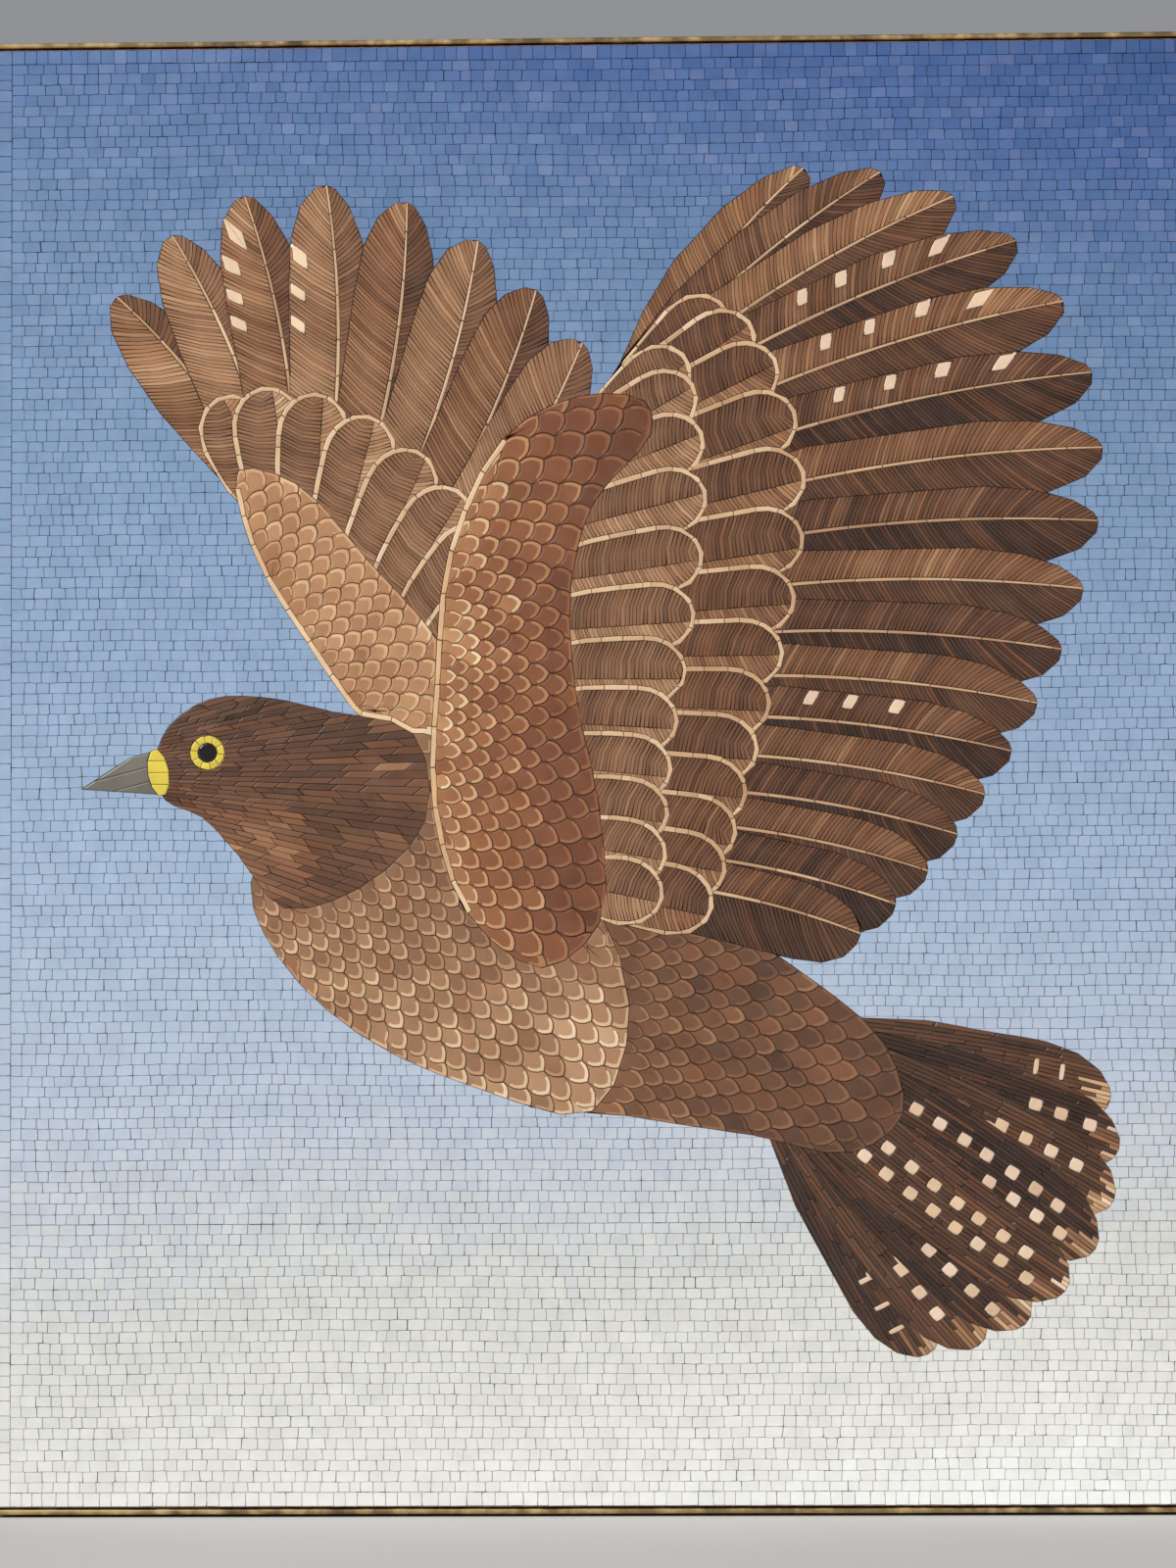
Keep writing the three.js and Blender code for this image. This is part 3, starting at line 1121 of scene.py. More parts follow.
    def grind(self, cells: list[BMFace], setting: Setting) -> None:
        """Gives raised cells their ground edge."""
        groups: dict[float, list[BMFace]] = {}
        for cell in cells:
            slim = 2 * cell.calc_area() / cell.calc_perimeter()
            groups.setdefault(round(min(setting.edge, 0.45 * slim), 3) or 0.001, []).append(cell)
        for thick, group in groups.items():
            self.inset(group, thick, setting.drop)
        for cell in cells:
            for vert in cell.verts:
                vert[self.crown] = 1.0

    def unlevel(self, cell: BMFace, setting: Setting) -> None:
        """Sets one piece of glass a little high or low, and a little askew."""
        middle = cell.calc_center_median()
        rise = self.rng.uniform(-1, 1) * setting.lift
        lean = Vector((self.rng.gauss(0, 1), self.rng.gauss(0, 1))) * setting.tilt
        verts = set(cell.verts)
        if setting.edge:
            verts |= {self.outer_end(v, cell) for v in cell.verts}
        for vert in verts:
            turn = held(lean.dot(vert.co.xy - middle.xy), -0.03, 0.03)
            vert.co.z = min(vert.co.z + rise + turn, 0.06)

    def finish_cells(self, shape: Shape, cells: list[BMFace]) -> None:
        """Changes raised cells after they are set; most areas leave them as they are."""

    # -- the closed piece

    def close(self) -> None:
        """Gives the piece its sides and its back."""
        bm = self.bm
        rims = [e for e in bm.edges if e.is_boundary]
        result = bmesh.ops.extrude_edge_only(bm, edges=rims)
        verts = [g for g in result["geom"] if isinstance(g, BMVert)]
        edges = [g for g in result["geom"] if isinstance(g, BMEdge) and g.is_boundary]
        for vert in verts:
            vert.co.z = -PANEL.picture_depth
            vert[self.crown] = 0.0
        bmesh.ops.triangle_fill(bm, use_beauty=False, use_dissolve=False, edges=edges)
        bmesh.ops.recalc_face_normals(bm, faces=bm.faces)
        self.map_front()

    def map_front(self) -> None:
        """Lays the piece out in a UV map: the front as seen, the sides and back in a strip."""
        layer = self.bm.loops.layers.uv.new("OFBake")
        xs = [v.co.x for v in self.bm.verts]
        ys = [v.co.y for v in self.bm.verts]
        low, size = Vector((min(xs), min(ys))), max(max(xs) - min(xs), max(ys) - min(ys))
        for face in self.bm.faces:
            front = face.normal.z > 0.01
            for loop in face.loops:
                spot = (loop.vert.co.xy - low) / size
                if front:
                    loop[layer].uv = (0.005 + 0.985 * spot.x, 0.015 + 0.98 * spot.y)
                else:
                    loop[layer].uv = (0.005 + 0.985 * spot.x, 0.002 + 0.008 * spot.y)

    def dress(self) -> bpy.types.Object:
        """Returns the piece as an object in its place, with its finish."""
        glass = sum(1 for f in self.bm.faces if f[self.shape] and f.normal.z > 0.9)
        bmesh.ops.transform(self.bm, matrix=PANEL.to_panel, verts=self.bm.verts)
        piece = made(self.node + "_glass", self.bm, self.finish.material())
        report(piece, self.slot, self.node)
        log.info("%s: %d faces of glass", piece.name, glass)
        return piece


def made(name: str, bm: BMesh, material: bpy.types.Material) -> bpy.types.Object:
    """Returns a linked object of a bmesh, which is freed."""
    mesh = bpy.data.meshes.new(name)
    bm.to_mesh(mesh)
    bm.free()
    mesh.materials.append(material)
    piece = bpy.data.objects.new(name, mesh)
    bpy.context.scene.collection.objects.link(piece)
    return piece


def report(piece: bpy.types.Object, slot: str, *nodes: str) -> None:
    """Hangs a piece on the root, hides the nodes it stands for, and logs its polygons."""
    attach(piece, "root")
    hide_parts(*nodes)
    log.info("%s: %d polygons", piece.name, len(piece.data.polygons))


# ---------------------------------------------------------------- the sky

COURSES = 135
SKY_HALF_X = PANEL.inner_x - 1.5 * JOINT - 1
SKY_HALF_Z = PANEL.inner_z - 1.5 * JOINT - 1
COURSE = 2 * SKY_HALF_Z / COURSES


def sky_tone(place: Vector) -> float:
    """Returns how far up the sky's colours a place is, from 0 at the foot to 1 at the top."""
    height = (place.y + SKY_HALF_Z) / (2 * SKY_HALF_Z)
    # The tone also leans across the picture: deeper towards the top right, paler towards the bottom right.
    lean = (0.13 * height - 0.05) * place.x / SKY_HALF_X
    return (height + lean + 0.02 * patchy(place, 24, 4) + 0.08) / 1.2


@dataclass
class SkyBand(Area):
    """One tone of the sky: courses of small tesserae, numbered from the foot of the picture."""

    first: int = 0
    courses: int = 25

    def cut(self) -> None:
        """Cuts the band into courses, and each course into tesserae of uneven width."""
        low = -SKY_HALF_Z + self.first * COURSE
        layout = Courses(low, low + self.courses * COURSE)
        up = Vector((0, 1))
        with self.flat(lambda f: True, layout) as faces:
            lines = []
            for k in range(1, self.courses):
                uneven = Random(f"line{self.first + k}").uniform(-0.05, 0.05)
                lines.append((Vector((0, low + k * COURSE + uneven)), up))
            rows: dict[int, list[BMFace]] = {}
            for face in self.slice(faces, lines):
                middle = (min(v.co.y for v in face.verts) + max(v.co.y for v in face.verts)) / 2
                row = self.first + int((middle - low) / COURSE)
                face[self.part] = row
                rows.setdefault(row, []).append(face)
            for row, strip in rows.items():
                self.slice(strip, self.uprights(row))
        self.merge_small(0.26)
        self.unsettle(0.03)
        self.add_middles(0.5)
        for face in self.bm.faces:
            face[self.shape] = Shape.TESSERA.value
            face[self.tone] = sky_tone(face.calc_center_median()) + self.rng.gauss(0, 0.009)
            face[self.cast] = self.rng.random() ** 3

    @staticmethod
    def uprights(row: int) -> list[tuple[Vector, Vector]]:
        """Returns the upright joints of a course, which both sides of the bird share."""
        rng = Random(f"course{row}")
        cuts = []
        for x in steps(-SKY_HALF_X, SKY_HALF_X - 0.5, rng, 0.8, 1.5):
            y = -SKY_HALF_Z + (row + 0.5) * COURSE
            cuts.append((Vector((x, y)), Vector((1, rng.gauss(0, 0.045))).normalized()))
        return cuts


@dataclass
class SkyBorder(Area):
    """The single row of tesserae along the tray's walls."""

    def cut(self) -> None:
        """Cuts the ring into four corners and four rows, and the rows into tesserae."""
        faces = list(self.bm.faces)
        for axis, half in ((Vector((1, 0)), SKY_HALF_X), (Vector((0, 1)), SKY_HALF_Z)):
            lines = [(-half * axis, axis), (half * axis, axis)]
            faces = self.slice(faces, lines)
        self.heal()
        for face in list(self.bm.faces):
            size = [max(v.co[k] for v in face.verts) - min(v.co[k] for v in face.verts) for k in (0, 1)]
            if max(size) > 5:
                k = size.index(max(size))
                axis = Vector((1 - k, k))
                half = (SKY_HALF_X, SKY_HALF_Z)[k]
                side = Vector((k, 1 - k))
                row = side * face.calc_center_median().xy.dot(side)
                places = steps(-half, half - 0.5, self.rng, 0.8, 1.35)
                cuts = [(row + p * axis, axis + side * self.rng.gauss(0, 0.03)) for p in places]
                self.slice([face], cuts)
        self.add_middles(0.5)
        for face in self.bm.faces:
            face[self.shape] = Shape.TESSERA.value
            face[self.tone] = sky_tone(face.calc_center_median()) + self.rng.gauss(0, 0.009)
            face[self.cast] = self.rng.random() ** 3


# ---------------------------------------------------------------- feathers of barbs on a shaft


@dataclass
class VanedArea(Area):
    """An area with feathers whose vanes are cut into barbs."""

    def lay_barbs(self, part: int, barbs: Barbs, pitch: float, tone: Tone) -> list[BMFace]:
        """Cuts one vane into barbs.

        Args:
            part: the vane's part number.
            barbs: how its barbs lie.
            pitch: the width of a barb with its joint.
            tone: gives the tone at a place of the picture.

        Returns:
            The barbs.
        """
        if not any(f[self.part] == part for f in self.bm.faces):
            return []
        with self.flat(lambda f: f[self.part] == part, barbs) as faces:
            starts = [v.co.x for f in faces for v in f.verts]
            lines = []
            place = min(starts) + pitch * self.rng.uniform(0.4, 1)
            while place < max(starts):
                lines.append((Vector((place, 0)), Vector((1, 0))))
                place += pitch * self.rng.uniform(0.82, 1.18) * (1 + 0.4 * barbs.slope(place))
            for face in self.slice(faces, lines):
                face[self.shape] = Shape.BARB.value
            self.add_drops(part, barbs, [point.x for point, _ in lines])
            self.bend_edges(part, 0.7)
        found = [f for f in self.bm.faces if f[self.part] == part]
        for face in found:
            if face[self.shape] == Shape.BARB.value:
                middle = face.calc_center_median()
                face[self.tone] = held(tone(middle) + self.rng.gauss(0, 0.05))
                face[self.cast] = self.rng.random() ** 4
        return found

    def add_drops(self, part: int, barbs: Barbs, starts: list[float]) -> None:
        """Sets pale drops in a vane; most have none."""

    def bend_edges(self, part: int, longest: float) -> None:
        """Adds a middle point to each long edge between two barbs of a vane."""
        edges = [
            e
            for e in self.bm.edges
            if len(e.link_faces) == 2
            and all(f[self.part] == part for f in e.link_faces)
            and e.calc_length() > longest
        ]
        if edges:
            bmesh.ops.bisect_edges(self.bm, edges=edges, cuts=1)

    def inlay(self, faces: Iterable[BMFace], low: Vector, high: Vector, tone: float) -> bool:
        """Sets one larger oval piece in place of the ends of several small ones.

        Args:
            faces: the faces that may be cut.
            low: the lowest corner of its cell in the straight pattern.
            high: the highest corner.
            tone: its tone.

        Returns:
            Whether there was room for it.
        """
        hit = []
        for face in faces:
            xs, ys = [v.co.x for v in face.verts], [v.co.y for v in face.verts]
            wide = min(max(xs), high.x) - max(min(xs), low.x)
            tall = min(max(ys), high.y) - max(min(ys), low.y)
            if wide > 0.04 and tall > 0.04:
                hit.append(face)
        if not hit:
            return False
        part = hit[0][self.part]
        for point, normal in ((low, (1, 0)), (high, (1, 0)), (low, (0, 1)), (high, (0, 1))):
            hit = self.bisect(hit, point, Vector(normal))
        inside = []
        for face in hit:
            middle = face.calc_center_median()
            if low.x < middle.x < high.x and low.y < middle.y < high.y:
                inside.append(face)
        room = (high.x - low.x) * (high.y - low.y)
        if sum(f.calc_area() for f in inside) < 0.8 * room:
            return False
        region = bmesh.ops.dissolve_faces(self.bm, faces=inside, use_verts=False)["region"]
        sides = {e for f in region for e in f.edges if e.calc_length() > 0.2}
        bmesh.ops.bisect_edges(self.bm, edges=list(sides), cuts=2)
        for face in region:
            face[self.shape] = Shape.OVAL.value
            face[self.tone] = tone
            face[self.cast] = 0.0
            face[self.part] = part
        return bool(region)


@dataclass
class FlightFeather(VanedArea):
    """A long feather: a pale shaft in lengths, with slanting barbs on both sides.

    light_side is 1 where the left vane is the lighter one, and -1 for the right. fan_share is how
    far along it the barbs begin to fan round the tip, and drops is how many pale drops it has.
    """

    shaft: Shaft = field(kw_only=True)
    light_side: int = 1
    light: float = 0.62
    dark: float = 0.36
    shaft_width: float = 0.4
    fan_share: float = 0.72
    drops: int = 0

    def cut(self) -> None:
        """Cuts the shaft and the two vanes."""
        half = self.shaft_width / 2
        self.shorten_edges(0.7)
        with self.flat(lambda f: True, self.shaft) as faces:
            thin = 0.55 * half / self.shaft.length
            lines = [(Vector((0, side * half)), Vector((side * thin, 1))) for side in (-1, 1)]
            shafts = []
            for face in self.slice(faces, lines):
                reach = max((v.co.y for v in face.verts), key=abs)
                face[self.part] = 1 if abs(reach) < 1.2 * half else (2 if reach > 0 else 3)
                if face[self.part] == 1:
                    shafts.append(face)
            places = steps(-4, self.shaft.length + 2, self.rng, 2.4, 4.6)
            cuts = [(Vector((x, 0)), Vector((1, self.rng.uniform(-0.3, 0.3)))) for x in places]
            for face in self.slice(shafts, cuts):
                face[self.shape] = Shape.SHAFT.value
                face[self.tone] = self.rng.gauss(0.87, 0.025)
        for part, side in ((2, 1), (3, -1)):
            barbs = Barbs(
                self.shaft,
                half,
                lean=0.42,
                fan=2.3,
                fan_from=self.fan_share * self.shaft.length,
                curl=0.05,
            )
            base = self.light if side == self.light_side else self.dark
            seed = self.rng.uniform(0, 50)
            self.lay_barbs(part, barbs, 0.29, self.vane_tone(base, seed))
        self.merge_small(0.075)

    def vane_tone(self, base: float, seed: float) -> Tone:
        """Returns the tone of a vane: soft patches along it, and dark near its quill."""

        def tone(place: Vector) -> float:
            """Returns the tone at a place."""
            share = self.shaft.flatten(place).x / self.shaft.length
            return base + 0.13 * patchy(place, 3.2, seed) + 0.05 * eased(share, 0.4, 1)

        return tone

    def add_drops(self, part: int, barbs: Barbs, starts: list[float]) -> None:
        """Sets a row of pale drops along the outer edge of the lighter vane."""
        if part != (2 if self.light_side > 0 else 3):
            return
        for k in range(self.drops):
            goal = self.shaft.length * (0.56 + 0.085 * k)
            after = [x for x in starts if x >= goal]
            if len(after) < 4:
                continue
            low_x, high_x = after[0], after[3]
            vane = [f for f in self.bm.faces if f[self.part] == part]
            ends = []
            for face in vane:
                xs = [v.co.x for v in face.verts]
                if min(xs) > low_x - 0.01 and max(xs) < high_x + 0.01:
                    ends.append(max(abs(v.co.y) for v in face.verts))
            if not ends or min(ends) < 1.9:
                continue
            outer, inner = min(ends) - 0.12, min(ends) - 1.3
            ys = sorted((outer * self.light_side, inner * self.light_side))
            self.inlay(vane, Vector((low_x, ys[0])), Vector((high_x, ys[1])), 0.98)


@dataclass
class TailFeather(VanedArea):
    """A tail feather of long dark filaments, with buff dots in two rows and a pale tip."""

    shaft: Shaft = field(kw_only=True)
    barred: bool = False
    filament: float = 0.34

    def cut(self) -> None:
        """Cuts the filaments, then sets the dots or bars between them."""
        self.shorten_edges(0.9)
        with self.flat(lambda f: True, self.shaft) as faces:
            first = self.lay_strands(faces, self.filament, (2.6, 5.5), 0.4)
            self.set_marks(first)
        self.merge_small(0.16)
        for face in self.bm.faces:
            if face[self.shape] == Shape.STREAK.value:
                face[self.tone] = held(self.streak_tone(face.calc_center_median()))
                face[self.cast] = self.rng.random() ** 4

    def streak_tone(self, place: Vector) -> float:
        """Returns the tone of a filament: dark, with a pale tip."""
        share = self.shaft.flatten(place).x / self.shaft.length
        pale = 0.62 * eased(share, 0.93, 0.97)
        return 0.27 + 0.12 * patchy(place, 4, 9) + self.rng.gauss(0, 0.06) + pale

    def set_marks(self, first: float) -> None:
        """Sets the dots or the bars in the straight pattern."""
        wide = 4 if self.barred else 3
        long = 0.42 if self.barred else 1.12
        middle = round((0 - first) / self.filament)
        for side in (-1, 1):
            start = first + (middle + (1 if side > 0 else -1 - wide)) * self.filament
            place = 7.0 + (1.1 if side > 0 else 0.0)
            while place < 0.92 * self.shaft.length:
                low = Vector((place + self.rng.uniform(-0.12, 0.12), start))
                high = low + Vector((long, wide * self.filament))
                self.inlay(list(self.bm.faces), low, high, self.rng.uniform(0.94, 1.0))
                place += 2.3


@dataclass
class CovertRow(VanedArea):
    """A row of short feathers that overlap, each outlined with bent pale threads.

    The shafts are in order from the lowest feather to the topmost one.
    """

    shafts: tuple[Shaft, ...] = field(kw_only=True)
    width: float = 5.8
    blunt: float = 0.6
    thread: float = 0.34
    light: float = 0.66
    dark: float = 0.44

    def cut(self) -> None:
        """Cuts the row into feathers, and each into its thread and its barbs."""
        self.overlay()
        for k, shaft in enumerate(self.shafts):
            self.cut_thread(4 * k + 1, shaft)
            seed = self.rng.uniform(0, 50)
            split = self.rng.uniform(-0.5, 0.5)
            self.split_vane(4 * k + 2, shaft, split)
            for part, base in ((4 * k + 2, self.light), (4 * k + 3, self.dark)):
                barbs = Barbs(shaft, 0.0, lean=0.12, fan=0.5, fan_from=0.6 * shaft.length, curl=0.09)
                self.lay_barbs(part, barbs, 0.29, self.vane_tone(base, seed))
        self.merge_small(0.075)

    def vane_tone(self, base: float, seed: float) -> Tone:
        """Returns the tone of a vane in soft patches."""
        return lambda place: base + 0.12 * patchy(place, 2.4, seed)

    def overlay(self) -> None:
        """Lays the outlines of the feathers over the row and keeps what each one shows."""
        plans = [[v.co.xy for v in f.verts] for f in self.bm.faces]
        outlines = []
        for shaft in self.shafts:
            for grown in (0.09, -self.thread):
                tip = shaft.tip + grown * shaft.along
                wider = Shaft(shaft.quill - 0.4 * shaft.along, tip)
                outlines.append(covert_outline(wider, self.width + 2 * grown, self.blunt))
        points = []
        loops = []
        for loop in plans + outlines:
            loops.append(list(range(len(points), len(points) + len(loop))))
            points.extend(loop)
        spots, _, cells, _, _, sources = delaunay_2d_cdt(points, [], loops, 4, 1e-5)
        bmesh.ops.delete(self.bm, geom=self.bm.verts, context="VERTS")
        verts = [self.bm.verts.new((s.x, s.y, -GROOVE)) for s in spots]
        for cell, found in zip(cells, sources):
            if not any(k < len(plans) for k in found):
                continue
            over = [(k - len(plans)) // 2 for k in found if k >= len(plans)]
            face = self.bm.faces.new([verts[k] for k in cell])
            if over:
                top = max(over)
                inner = len(plans) + 2 * top + 1 in found
                face[self.part] = 4 * top + (2 if inner else 1)
        loose = [v for v in self.bm.verts if not v.link_faces]
        bmesh.ops.delete(self.bm, geom=loose, context="VERTS")
        self.bm.normal_update()
        turned = [f for f in self.bm.faces if f.normal.z < 0]
        bmesh.ops.reverse_faces(self.bm, faces=turned)
        self.adopt()
        same = [
            e
            for e in self.bm.edges
            if len(e.link_faces) == 2 and e.link_faces[0][self.part] == e.link_faces[1][self.part]
        ]
        bmesh.ops.dissolve_edges(self.bm, edges=same, use_verts=False)

    def adopt(self) -> None:
        """Gives cells that no feather covers to the neighbour on their longest side."""
        for _ in range(3):
            for face in [f for f in self.bm.faces if f[self.part] == 0]:
                sides = [e for e in face.edges if len(e.link_faces) == 2]
                for edge in sorted(sides, key=BMEdge.calc_length, reverse=True):
                    other = next(f for f in edge.link_faces if f != face)
                    if other[self.part]:
                        face[self.part] = other[self.part]
                        break

    def cut_thread(self, part: int, shaft: Shaft) -> None:
        """Cuts the thread round a feather into short bent lengths."""
        turn = shaft.length - self.blunt * self.width
        with self.flat(lambda f: f[self.part] == part, shaft) as faces:
            places = [*steps(0, turn - 0.5, self.rng, 1.5, 2.4), turn]
            faces = self.slice(faces, [(Vector((x, 0)), Vector((1, 0))) for x in places])
            tips = [f for f in faces if min(v.co.x for v in f.verts) > turn - 0.01]
            for degrees in (-62, -22, 20, 58):
                lean = math.radians(degrees + self.rng.uniform(-8, 8))
                across = Vector((-math.sin(lean), math.cos(lean)))
                tips = self.bisect(tips, Vector((turn, 0)), across)
        for face in self.bm.faces:
            if face[self.part] == part:
                face[self.shape] = Shape.SHAFT.value
                face[self.tone] = self.rng.gauss(0.9, 0.03)

    def split_vane(self, part: int, shaft: Shaft, offset: float) -> None:
        """Splits a vane lengthwise into a light side and a dark side."""
        with self.flat(lambda f: f[self.part] in (part, part + 1), shaft) as faces:
            line = (Vector((0, offset)), Vector((0.03, 1)).normalized())
            for face in self.slice(faces, [line]):
                reach = max(((v.co.xy - line[0]).dot(line[1]) for v in face.verts), key=abs)
                if reach > 0:
                    face[self.part] = part + 1


# ---------------------------------------------------------------- areas of scales and streaks


@dataclass
class ScaleArea(Area):
    """An area of leaf-shaped pieces in a lattice that spreads from a centre.

    long and wide are the spacing of the pieces at the fan's radius. pale is the tone of the rim on
    the side that looks away from the centre, and bulge how far that side is rounded. A lined area has a line of pale lengths on its edge
    where lined() says so.
    """

    fan: Fan = field(kw_only=True)
    long: float = 2.5
    wide: float = 1.5
    piece: Shape = Shape.LEAF
    pale: float = 0.24
    bulge: float = 0.17
    place_tone: Tone = field(kw_only=True)
    lined: Callable[[Vector], bool] | None = None
    line_width: float = 0.42

    def cut(self) -> None:
        """Cuts the line along the edge, and the lattice inside it."""
        if self.lined:
            self.lay_line()
        self.shorten_all(1.2)
        with self.flat(lambda f: f[self.part] == 0, self.fan) as faces:
            for sign in (1, -1):
                normal = Vector((1 / self.long, sign / self.wide))
                reach = [v.co.xy.dot(normal) for f in faces for v in f.verts]
                lines = []
                for k in range(math.floor(min(reach)), math.ceil(max(reach)) + 1):
                    place = k + 0.5 + self.rng.uniform(-0.07, 0.07)
                    lines.append((normal * (place / normal.length_squared), normal.normalized()))
                faces = self.slice(faces, lines)
            self.round_tips()
        self.merge_small(0.16 * self.long * self.wide)
        self.unsettle(0.035 * self.wide)
        for face in self.bm.faces:
            if face[self.part] == 0:
                place = face.calc_center_median()
                face[self.shape] = self.piece.value
                face[self.tone] = held(self.place_tone(place) + self.rng.gauss(0, 0.055))
                face[self.cast] = self.rng.random() ** 4

    def shorten_all(self, longest: float) -> None:
        """Adds points to long edges, so that they stay true when they are laid bent."""
        for cuts in range(1, 30):
            edges = [e for e in self.bm.edges if int(e.calc_length() / longest) == cuts]
            if edges:
                bmesh.ops.bisect_edges(self.bm, edges=edges, cuts=cuts)

    def round_tips(self) -> None:
        """Bends the joints of the straight lattice, so that each piece has a rounded tip."""
        edges = [
            e
            for e in self.bm.edges
            if len(e.link_faces) == 2
            and not any(f[self.part] for f in e.link_faces)
            and e.calc_length() > 0.3 * self.wide
        ]
        ends = []
        for k, edge in enumerate(edges):
            edge[self.joint] = k
            ends.append([v.co.xy for v in edge.verts])
        full = math.hypot(self.long, self.wide) / 2
        added = bmesh.ops.bisect_edges(self.bm, edges=edges, cuts=3)["geom_split"]
        for vert in {g for g in added if isinstance(g, BMVert) and len(g.link_edges) == 2}:
            first, last = ends[vert.link_edges[0][self.joint]]
            run = last - first
            away = Vector((1 / self.long, math.copysign(1 / self.wide, -run.x * run.y)))
            away.normalize()
            if abs(run.normalized().dot(away)) > 0.3:
                continue
            share = (vert.co.xy - first).length / run.length
            bend = self.bulge * self.wide * 4 * share * (1 - share)
            bend *= min(1.0, run.length / full) ** 2
            vert.co.x += away.x * bend
            vert.co.y += away.y * bend

    def lay_line(self) -> None:
        """Sets a line of pale lengths along the edge of the area."""
        result = bmesh.ops.inset_region(
            self.bm,
            faces=self.bm.faces,
            use_boundary=True,
            use_even_offset=True,
            thickness=self.line_width,
        )
        for face in result["faces"]:
            if self.lined(face.calc_center_median()):
                face[self.part] = 1
                face[self.shape] = Shape.SHAFT.value
                face[self.tone] = self.rng.gauss(0.92, 0.03)
        ring = set(result["faces"])
        back = [
            e
            for f in ring
            if not f[self.part]
            for e in f.edges
            if len(e.link_faces) == 2 and not any(g[self.part] for g in e.link_faces)
        ]
        bmesh.ops.dissolve_edges(self.bm, edges=list(set(back)), use_verts=False)

    def finish_cells(self, shape: Shape, cells: list[BMFace]) -> None:
        """Gives the pieces their pale rims."""
        if shape != self.piece or not self.pale:
            return
        for cell in cells:
            middle = cell.calc_center_median()
            away = (middle.xy - self.fan.centre).normalized()
            for edge in cell.edges:
                for rim in edge.link_faces:
                    if rim == cell:
                        continue
                    off = (rim.calc_center_median().xy - middle.xy).normalized()
                    if off.dot(away) > 0.2:
                        rim[self.tone] = held(cell[self.tone] + self.pale)


@dataclass
class Head(Area):
    """The head: fine streaks that flow back from the beak, and meet the gape in front."""

    fan: Fan = field(kw_only=True)
    place_tone: Tone = field(kw_only=True)
    pitch: float = 0.46

    def cut(self) -> None:
        """Cuts the streaks."""
        self.meet("gape")
        self.heal()
        self.shorten_edges(0.8)
        with self.flat(lambda f: True, self.fan) as faces:
            self.lay_strands(faces, self.pitch, (1.5, 3.4), 1.3)
        self.merge_small(0.22)
        self.unsettle(0.02)
        for face in self.bm.faces:
            face[self.tone] = held(
                self.place_tone(face.calc_center_median()) + self.rng.gauss(0, 0.06)
            )
            face[self.cast] = self.rng.random() ** 4

    def meet(self, node: str) -> None:
        """Bends the longest upright side round a rounded neighbour on its left."""
        other = Area(node, "", YELLOW)
        other.open_plan()
        spots = sorted((v.co.xy for v in other.bm.verts), key=lambda s: s.y)
        low, high = spots[0], spots[-1]
        bent = [s for s in spots if (high - low).cross(s - low) < TOUCH]
        other.bm.free()
        upright = [
            e
            for e in self.bm.edges
            if e.is_boundary and abs(e.verts[0].co.x - e.verts[1].co.x) < 0.1
        ]
        front = max(upright, key=BMEdge.calc_length).verts[0].co.x
        for side in [e for e in upright if abs(e.verts[0].co.x - front) < 0.1]:
            ends = sorted(v.co.y for v in side.verts)
            near = [s for s in bent if ends[0] < s.y < ends[1]]
            if not near:
                continue
            added = bmesh.ops.bisect_edges(self.bm, edges=[side], cuts=len(near))["geom_split"]
            verts = sorted((g for g in added if isinstance(g, BMVert)), key=lambda v: v.co.y)
            for vert, spot in zip(verts, near):
                vert.co.x, vert.co.y = spot


@dataclass
class SmallArea(Area):
    """A small area of a few polished pieces, cut by parallel or by radial lines."""

    tones: tuple[float, float] = (0.3, 0.7)
    parallel: int = 0
    radial: int = 0
    direction: Vector = field(default_factory=lambda: Vector((0, 1)))

    def cut(self) -> None:
        """Cuts the area."""
        faces = list(self.bm.faces)
        spots = [v.co.xy for v in self.bm.verts]
        middle = sum(spots, Vector((0, 0))) / len(spots)
        if self.parallel:
            reach = [s.dot(self.direction) for s in spots]
            places = [mix(min(reach), max(reach), (k + 1) / (self.parallel + 1)) for k in range(self.parallel)]
            faces = self.slice(faces, [(self.direction * p, self.direction) for p in places])
        for k in range(self.radial):
            turn = math.pi * (k + 0.3) / self.radial
            faces = self.bisect(faces, middle, Vector((math.cos(turn), math.sin(turn))))
        self.weld(0.08)
        for face in self.bm.faces:
            face[self.shape] = Shape.POLISHED.value
            face[self.tone] = self.rng.uniform(*self.tones)


# ---------------------------------------------------------------- the bird's layout

BIRD_AT = Vector((-1, -3))


def bird(x: float, y: float) -> Vector:
    """Returns a point of the bird on the picture."""
    return Vector((x, y)) + BIRD_AT


NEAR_WING = Wing(
    arm=(bird(2, 31), bird(-4, 26), bird(-7, 16), bird(-6, 4), bird(-2, -6)),
    centre=bird(5, 11),
    angles=(73, -52),
    reach=(27, 46),
    longest=0.16,
    falloff=0.38,
    bow=0.05,
)
FAR_WING = Wing(
    arm=(bird(-26, 25), bird(-24, 21), bird(-19, 15), bird(-12, 9)),
    centre=bird(-16, 12),
    angles=(127, 30),
    reach=(26, 40),
    longest=0.2,
    falloff=0.45,
    bow=-0.05,
)
TAIL_ROOT = bird(15, -20)
SKY = (("cream", 25, 1), ("pale", 30, 2), ("light", 29, 2), ("middle", 26, 3), ("deep", 25, 1))


def sky_glass(name: str) -> Glass:
    """Returns the glass of one tone of the sky."""
    return Glass(f"{name} sky glass", SKY_COLOURS, LILAC, 0.08, 0.36, 0.05, (132, 124, 118), 0.68)


